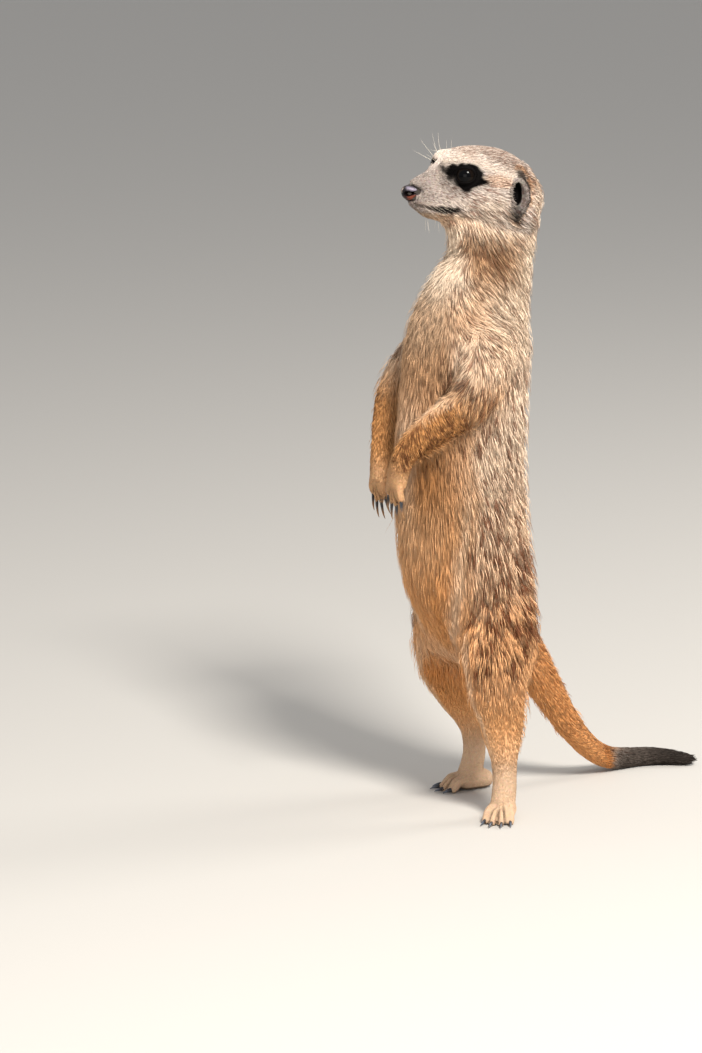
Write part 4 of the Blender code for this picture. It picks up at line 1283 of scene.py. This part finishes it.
def horn(base, centre, tip, radius, narrow):
    """Points and faces of a curved claw, flattened from side to side, and how far along each point is."""
    rows, turns = 12, 12
    t = np.linspace(-0.12, 1, rows)[:, None]
    control = 2 * centre - (base + tip) / 2
    line = (1 - t) ** 2 * base + 2 * t * (1 - t) * control + t**2 * tip
    way = unit(np.gradient(line, axis=0))
    sag = centre - (base + tip) / 2
    reach = tip - base
    over = unit(sag - reach * (sag @ reach) / np.dot(reach, reach) + np.array((0, 0, 1e-6)))
    side = unit(np.cross(way, over))
    high = np.cross(side, way)
    angle = np.arange(turns) * 2 * math.pi / turns
    size = radius * np.clip(1 - 0.90 * np.clip(t, 0, 1) ** 1.25, 0.06, 1)
    ridge = np.where(np.sin(angle) > 0, 1.0, 0.82)
    across = side[:, None] * (np.cos(angle) * narrow)[None, :, None]
    upright = high[:, None] * (np.sin(angle) * ridge)[None, :, None]
    rings = line[:, None] + size[:, None] * (across + upright)
    points = np.vstack([rings.reshape(-1, 3), line[:1], line[-1:]])
    k = np.arange(turns)
    n = (k + 1) % turns
    quads = np.concatenate([
        np.stack([s + k, s + n, s + turns + n, s + turns + k], 1)
        for s in range(0, (rows - 1) * turns, turns)
    ])
    first, last = len(points) - 2, len(points) - 1
    ends = np.concatenate([
        np.stack([np.full(turns, first), n, k], 1),
        np.stack([np.full(turns, last), (rows - 1) * turns + k, (rows - 1) * turns + n], 1),
    ])
    along = np.append(np.repeat(np.clip(t[:, 0], 0, 1), turns), (0, 1))
    return points, quads, ends, along


def build_claws(part, word, material):
    paw = middle(f"{part}_{word}")
    nodes = [f"{part}_{word}_claw_{k}" for k in (1, 2, 3, 4)]
    spots, quads, ends, alongs, start = [], [], [], [], 0
    thick, narrow = (0.78, 0.52) if part == "hand" else (0.95, 0.66)
    for node in nodes:
        base, centre, tip, radius = claw_curve(node, paw)
        points, four, three, along = horn(base, centre, tip, radius * thick, narrow)
        points[:, 2] = np.maximum(points[:, 2], 0.25 * MM)  # clear of the floor
        spots.append(points)
        quads.append(four + start)
        ends.append(three + start)
        alongs.append(along)
        start += len(points)
    faces = [np.vstack(quads), np.vstack(ends)]
    obj = mesh_object(f"claws_{part}_{word}", np.vstack(spots), faces, [material])
    layer = obj.data.attributes.new("length_share", "FLOAT", "POINT")
    layer.data.foreach_set("value", np.concatenate(alongs).astype(np.float32))
    return on_root(obj, "claw_horn", *nodes)


def build_nose(material):
    """The nose pad with its two nostrils and their side slits, grown from a ball."""
    points, faces = ball(1.0, 96, 70)
    aside, back, up = points[:, 0], -points[:, 1], points[:, 2]
    square = 1 / (np.abs(aside) ** 3.2 + np.abs(back) ** 3.2 + np.abs(up) ** 3.2) ** (1 / 3.2)
    aside, back, up = aside * square, back * square, up * square
    low = rise(0.1, -1.0, up)
    behind = rise(-0.1, 1.0, back)
    x = aside * (4.7 - 1.3 * low) * (1 - 0.22 * rise(0.2, -1.0, back)) * (1 + 0.04 * behind)
    y = 3.95 + back * 4.4 - 3.3 * low * behind + 0.9 * low * rise(0.3, -0.8, back)
    z = 1.30 + up * 3.6 - 0.22 * bell(x, 1.2) * (up > 0.4) - 1.4 * behind * rise(0.0, 0.8, up)
    z += 0.6 * low * behind - 0.9 * rise(-0.4, -1.0, back) * rise(0.3, 1.0, up)
    side = np.sign(x)
    off = ((np.abs(x) - 3.0) / 1.6) ** 2 + ((y - 2.0) / 1.9) ** 2 + ((z - 1.3) / 1.25) ** 2
    hollow = bell(np.sqrt(off), 1)
    x, y = x - side * 1.7 * hollow, y + 1.4 * hollow
    along = (y - 2.6) / 4.6
    slit = bell(z - 1.2 - 1.2 * along, 0.75) * rise(-0.1, 0.15, along) * rise(1.1, 0.8, along)
    slit = slit * (np.abs(x) > 2.0)
    x = x - side * 1.1 * slit
    y = y + 0.4 * bell(x, 0.3) * (z < 2.0) * (y < 3)
    obj = mesh_object("nose_pad", from_head(np.stack([x, y, z], 1)), faces, [material])
    # Painted shade in the groove between the nostrils, in their hollows and in their side slits.
    groove = bell(x, 0.35) * (y < 3) * rise(2.4, 0.5, z)
    dark = np.clip(np.maximum.reduce([1.5 * hollow, 1.2 * slit, groove]), 0, 1)
    wing = rise(0.6, -0.2, z - 0.25 * np.maximum(y - 3, 0)) * rise(-2.3, -1.4, z) * rise(6.2, 4.8, y)
    wing *= (0.10 + 0.90 * rise(1.2, 2.8, y)) * (np.abs(x) > 1.0)
    # The pad's grey top, with a painted highlight along its upper rear edge.
    sheen = bell(z - 4.3 + 0.28 * y - 0.2, 1.0) * rise(0.4, 2.0, y) * rise(-0.1, 0.4, up)
    painted(obj.data, "parts", np.stack([dark, wing, sheen, np.ones(len(x))], 1))
    return on_root(obj, "nose_skin", "nose")


def hair_strand(points, radius, sides=4):
    """Points and faces of one tapering strand along a line of points."""
    points = np.asarray(points, float)
    count = len(points)
    rows = []
    for i in range(count - 1):
        way = unit(points[i + 1] - points[i])
        first = unit(np.cross(way, (0.31, 0.52, 0.8)))
        second = np.cross(way, first)
        turn = np.arange(sides) * 2 * math.pi / sides
        size = radius * (1 - 0.85 * i / (count - 1))
        rows.append(points[i] + size * (np.outer(np.cos(turn), first) + np.outer(np.sin(turn), second)))
    spots = np.vstack([*rows, points[-1:]])
    quads = [
        [s + k, s + (k + 1) % sides, s + sides + (k + 1) % sides, s + sides + k]
        for s in range(0, (count - 2) * sides, sides) for k in range(sides)
    ]
    last = (count - 2) * sides
    ends = [[last + k, last + (k + 1) % sides, len(spots) - 1] for k in range(sides)]
    ends += [[0, 2, 1], [0, 3, 2]]
    return spots, np.array(quads), np.array(ends)


def build_whiskers(material, seed):
    """Whiskers of the lips, brows and chin: root, way and length in the head's axes and millimetres."""
    rng = np.random.default_rng(seed)
    roots = []
    brow = ((-0.95, 0.62, 15), (-0.75, 0.95, 16), (-0.42, 1.15, 14), (-0.25, 1.2, 13), (-1.0, 0.35, 10))
    for _, side in SIDES:
        for row in range(3):
            for k in range(3):
                way = (side * 0.9, 0.35 + 0.2 * k, -0.25)
                roots.append(((side * (5.6 + 1.1 * k), 8 + 3.4 * k, -0.6 - 1.5 * row), way, 12))
        for k, (forward, height, long) in enumerate(brow):
            root = (side * (8.6 + 0.5 * k), 17.5 + 1.4 * k, 14.6 + 0.9 * k)
            roots.append((root, (side * 0.2, forward, height), long))
        for k in range(2):
            roots.append(((side * 2.0, 12 + 5 * k, -12.0 - 0.3 * k), (side * 0.3, -0.1, -1), 6))
    spots, quads, ends, start = [], [], [], 0
    for place, way, length in roots:
        way = unit(np.array(way) + rng.normal(0, 0.06, 3))
        length = length * rng.uniform(0.85, 1.1)
        droop = np.array((0, 0.16, -0.10)) * length
        steps = np.linspace(0, 1, 7)[:, None]
        line = from_head(np.array(place) + way * length * steps + droop * steps**2)
        p, q, e = hair_strand(line, 0.065 * MM)
        spots.append(p)
        quads.append(q + start)
        ends.append(e + start)
        start += len(p)
    obj = mesh_object("whiskers", np.vstack(spots), [np.vstack(quads), np.vstack(ends)], [material])
    return on_root(obj, "coat")


# ----------------------------------------------------------------------------------------------- properties
def colour_property(name, default, description):
    return FloatVectorProperty(
        name=name, description=description, default=default, size=3, subtype="COLOR", min=0, max=1
    )


class CoatColours(bpy.types.PropertyGroup):
    """Colours of the hair and of what is bare."""

    cream: colour_property("Cream", (0.88, 0.72, 0.56), "Palest ground of the coat, on back and shoulders")
    tan: colour_property("Tan", (0.77, 0.37, 0.105), "Ground colour of the limbs and the belly")
    rust: colour_property("Rust", (0.67, 0.21, 0.035), "Orange of tail, inner thighs and behind the ears")
    frost: colour_property("Frost", (0.60, 0.52, 0.48), "Grey white of the face")
    # Short hair deep in the coat, with painted shade there.
    underfur_and_root_shade: colour_property("Underfur", (0.36, 0.18, 0.085), "Short hair deep in the coat")
    tips: colour_property("Tips", (0.95, 0.84, 0.68), "Ends of the paler hairs")
    streak: colour_property("Streak", (0.155, 0.048, 0.018), "Dark bands of the back's hair")
    # Also the painted shade and shadows of coat and skin: ear openings, under the arms, chest front, creases
    # and between the digits.
    black: colour_property("Black", (0.0035, 0.0028, 0.0028), "Eye patches, tail tip and inside the ears")
    iris: colour_property("Iris", (0.006, 0.003, 0.0015), "Iris of the eyes")
    nose: colour_property("Nose", (0.007, 0.005, 0.0065), "Bare skin of the nose")
    nostril: colour_property("Nostril", (0.22, 0.05, 0.025), "Thinner skin below the nostrils")
    # Grey skin on top of the nose, with a painted highlight.
    grey_top_and_sheen: colour_property("Bloom", (0.30, 0.26, 0.33), "Pale sheen on top of the nose")
    slate: colour_property("Slate", (0.030, 0.034, 0.042), "Horn of the claws where they leave the toe")
    steel: colour_property("Steel", (0.11, 0.125, 0.16), "Ends of the hind claws")
    amber: colour_property("Amber", (0.32, 0.16, 0.06), "Thin ends of the fore claws")


class SkinSettings(bpy.types.PropertyGroup):
    """How finely the skin is made."""

    grain: FloatProperty(
        name="Grain", description="Size of the skin's faces on head and paws", default=0.6 * MM,
        unit="LENGTH", precision=5,
    )
    body_faces: IntProperty(
        name="Body faces", description="Triangles of the skin away from head and paws", default=60_000
    )
    spread: IntProperty(
        name="Spread", description="How far the kinds of coat run into each other", default=18
    )


class CoatSettings(bpy.types.PropertyGroup):
    """How the coat is grown."""

    triangles: IntProperty(
        name="Triangles", description="Triangles of all tufts together", default=1_450_000
    )
    length_share: FloatProperty(
        name="Length", description="Length of the hair as a share of its natural length", default=1.0
    )
    seed: IntProperty(name="Seed", description="Start of the coat's random numbers", default=7)


class StageSettings(bpy.types.PropertyGroup):
    """Camera, lights and floor."""

    camera: FloatVectorProperty(
        name="Camera", description="Where the camera stands", default=(1.9003, -1.1339, 0.590),
        subtype="TRANSLATION", unit="LENGTH",
    )
    yaw: FloatProperty(
        name="Yaw", description="The way the camera faces, seen from above, from -Y towards -X",
        default=math.radians(-61.65), unit="ROTATION",
    )
    pitch: FloatProperty(
        name="Pitch", description="How far the camera looks down", default=math.radians(-11.66),
        unit="ROTATION",
    )
    lens: FloatProperty(name="Lens", description="Focal length, in millimetres", default=159.3)
    key_power: FloatProperty(
        name="Key light", description="Power of the main light, in watts", default=48.0
    )
    fill_power: FloatProperty(
        name="Fill light", description="Power of the fill light, in watts", default=8.0
    )
    rim_power: FloatProperty(
        name="Rim light", description="Power of the light from behind, in watts", default=9.0
    )
    sky: FloatProperty(name="Sky", description="Strength of the light from all round", default=0.55)
    floor: colour_property("Floor", (0.50, 0.48, 0.45), "Colour of the floor")


PROPERTY_GROUPS = {
    "meerkat_colours": CoatColours,
    "meerkat_skin": SkinSettings,
    "meerkat_coat": CoatSettings,
    "meerkat_stage": StageSettings,
}
made_body = {}  # the skin's arrays, which the coat grows on


# ------------------------------------------------------------------------------------------------ operators
class MEERKAT_OT_skin(bpy.types.Operator):
    """Makes one skin over the flesh, inside the solids by the coat's depth, with the face's folds"""

    bl_idname = "meerkat.skin"
    bl_label = "Skin"

    def execute(self, context):
        settings = context.scene.meerkat_skin
        obj, body, shares = whole_skin(settings)
        body.evened(14)
        shares = body.blurred(shares, 4)
        table = np.array([[STRETCHES[n][k] for k in COAT_FIELDS] for n in NAMES])
        fields = fitted_to_places(body, shares @ table, shares)
        ways = np.array([unit(STRETCHES[n]["lie"]) for n in NAMES])
        lie = lie_of_hair(body, shares, ways)
        laid_in(body, fields[:, 0] * MM)
        for centre, reach, times in (
            (from_head((0, 22, -17))[0] / MM, (10, 10, 7), 120),  # throat
            (from_head((0, 60, -18))[0] / MM, (13, 9, 8), 160),  # nape
            ((TRUNK_MIDDLE_MM - 8, -58, 86), (19, 13, 24), 160),  # between the belly and the thighs
            ((TRUNK_MIDDLE_MM + 4, -72, 250), (26, 16, 13), 120),  # between the neck and the chest
        ):
            filled(body, centre, reach, times)
        between_digits(body)
        carve_face(body)
        obj.data.vertices.foreach_set("co", body.co.astype(np.float32).ravel())
        obj.data.update()
        normals = body.normals()
        colours, black = markings(body.co, normals, shares)
        colours[:, 3] *= 0.55
        painted(obj.data, "zones", colours)
        half = np.full(len(black), 0.5)
        strand = np.stack([half, half, black, np.ones(len(black))], 1)
        painted(obj.data, "strand", strand)
        obj.data.materials.clear()
        obj.data.materials.append(skin_material(context.scene.meerkat_colours))
        obj.data.shade_smooth()
        on_root(obj, "coat", *FLESH)
        made_body["body"] = body
        made_body["fields"] = (fields, lie, shares)
        return {"FINISHED"}


class MEERKAT_OT_coat(bpy.types.Operator):
    """Grows the coat of tufts on the skin"""

    bl_idname = "meerkat.coat"
    bl_label = "Coat"

    def execute(self, context):
        material = coat_material(context.scene.meerkat_colours)
        for obj in grow_coat(made_body["body"], made_body["fields"], context.scene.meerkat_coat, material):
            on_root(obj, "coat")
        return {"FINISHED"}


class MEERKAT_OT_eyes(bpy.types.Operator):
    """Makes the eyeballs"""

    bl_idname = "meerkat.eyes"
    bl_label = "Eyes"

    def execute(self, context):
        material = eye_material(context.scene.meerkat_colours)
        for word, side in SIDES:
            build_eye(word, side, material)
        return {"FINISHED"}


class MEERKAT_OT_nose(bpy.types.Operator):
    """Makes the nose pad with its nostrils"""

    bl_idname = "meerkat.nose"
    bl_label = "Nose"

    def execute(self, context):
        build_nose(nose_material(context.scene.meerkat_colours))
        return {"FINISHED"}


class MEERKAT_OT_claws(bpy.types.Operator):
    """Makes the claws of hands and feet"""

    bl_idname = "meerkat.claws"
    bl_label = "Claws"

    def execute(self, context):
        colours = context.scene.meerkat_colours
        for part, tip in (("hand", colours.amber), ("foot", colours.steel)):
            material = claw_material(f"claw_horn_{part}", colours.slate, tip)
            for word, _ in SIDES:
                build_claws(part, word, material)
        return {"FINISHED"}


class MEERKAT_OT_whiskers(bpy.types.Operator):
    """Makes the whiskers of the lips, brows and chin"""

    bl_idname = "meerkat.whiskers"
    bl_label = "Whiskers"

    def execute(self, context):
        material, _, _, shader = fresh_material("whisker")
        shader.inputs["Base Color"].default_value = opaque(context.scene.meerkat_colours.tips)
        shader.inputs["Roughness"].default_value = 0.4
        build_whiskers(material, context.scene.meerkat_coat.seed)
        return {"FINISHED"}


class MEERKAT_OT_stage(bpy.types.Operator):
    """Sets up the floor, the lights and the camera"""

    bl_idname = "meerkat.stage"
    bl_label = "Stage"

    def execute(self, context):
        settings = context.scene.meerkat_stage
        reach = 40.0
        corners = np.array([(x * reach, y * reach, 0.0) for x, y in ((-1, -1), (1, -1), (1, 1), (-1, 1))])
        material, _, _, shader = fresh_material("floor_paper")
        shader.inputs["Base Color"].default_value = opaque(settings.floor)
        shader.inputs["Roughness"].default_value = 0.9
        floor = mesh_object("floor", corners, [np.array([[0, 1, 2, 3]])], [material])
        aim = Vector((0, 0, 0.17))
        for name, place, size, power, colour in (
            ("key", (1.15, -0.15, 1.35), 0.40, settings.key_power, (1.0, 0.96, 0.90)),
            ("front", (1.25, -1.25, 0.30), 1.1, settings.fill_power, (1.0, 0.96, 0.91)),
            ("behind", (0.10, 1.30, 0.80), 0.5, settings.rim_power, (1.0, 0.97, 0.92)),
        ):
            light = bpy.data.lights.new(name, "AREA")
            light.energy, light.size, light.color = power, size, colour
            obj = bpy.data.objects.new(name, light)
            obj.location = place
            obj.rotation_euler = (aim - Vector(place)).to_track_quat("-Z", "Y").to_euler()
            context.scene.collection.objects.link(obj)
        world = bpy.data.worlds.new("studio")
        world.use_nodes = True
        world.node_tree.nodes["Background"].inputs["Color"].default_value = (0.92, 0.93, 0.95, 1)
        world.node_tree.nodes["Background"].inputs["Strength"].default_value = settings.sky
        context.scene.world = world
        context.scene.view_settings.view_transform = "Standard"
        camera = bpy.data.cameras.new("camera")
        camera.lens, camera.sensor_width = settings.lens, 36.0
        camera.clip_start, camera.clip_end = 0.05, 100.0
        obj = bpy.data.objects.new("camera", camera)
        obj.location = settings.camera
        yaw, pitch = settings.yaw, settings.pitch
        ahead = Vector((math.sin(yaw) * math.cos(pitch), math.cos(yaw) * math.cos(pitch), math.sin(pitch)))
        obj.rotation_euler = ahead.to_track_quat("-Z", "Y").to_euler()
        context.scene.collection.objects.link(obj)
        context.scene.camera = obj
        return {"FINISHED"}


class MEERKAT_PT_panel(bpy.types.Panel):
    """The pieces of the meerkat and their settings"""

    bl_label = "Meerkat"
    bl_idname = "MEERKAT_PT_panel"
    bl_space_type = "VIEW_3D"
    bl_region_type = "UI"
    bl_category = "Meerkat"

    def draw(self, context):
        for operator in OPERATORS:
            self.layout.operator(operator.bl_idname)
        for name, group in PROPERTY_GROUPS.items():
            box = self.layout.box()
            for field in group.__annotations__:
                box.prop(getattr(context.scene, name), field)


OPERATORS = (
    MEERKAT_OT_stage,
    MEERKAT_OT_skin,
    MEERKAT_OT_coat,
    MEERKAT_OT_eyes,
    MEERKAT_OT_nose,
    MEERKAT_OT_claws,
    MEERKAT_OT_whiskers,
)
CLASSES = (*PROPERTY_GROUPS.values(), *OPERATORS, MEERKAT_PT_panel)


def register():
    for cls in CLASSES:
        bpy.utils.register_class(cls)
    for name, group in PROPERTY_GROUPS.items():
        setattr(bpy.types.Scene, name, PointerProperty(type=group))


def unregister():
    for name in PROPERTY_GROUPS:
        delattr(bpy.types.Scene, name)
    for cls in reversed(CLASSES):
        bpy.utils.unregister_class(cls)


def main():
    register()
    for operator in OPERATORS:
        getattr(bpy.ops.meerkat, operator.bl_idname.split(".")[1])()


if __name__ == "__main__":
    main()
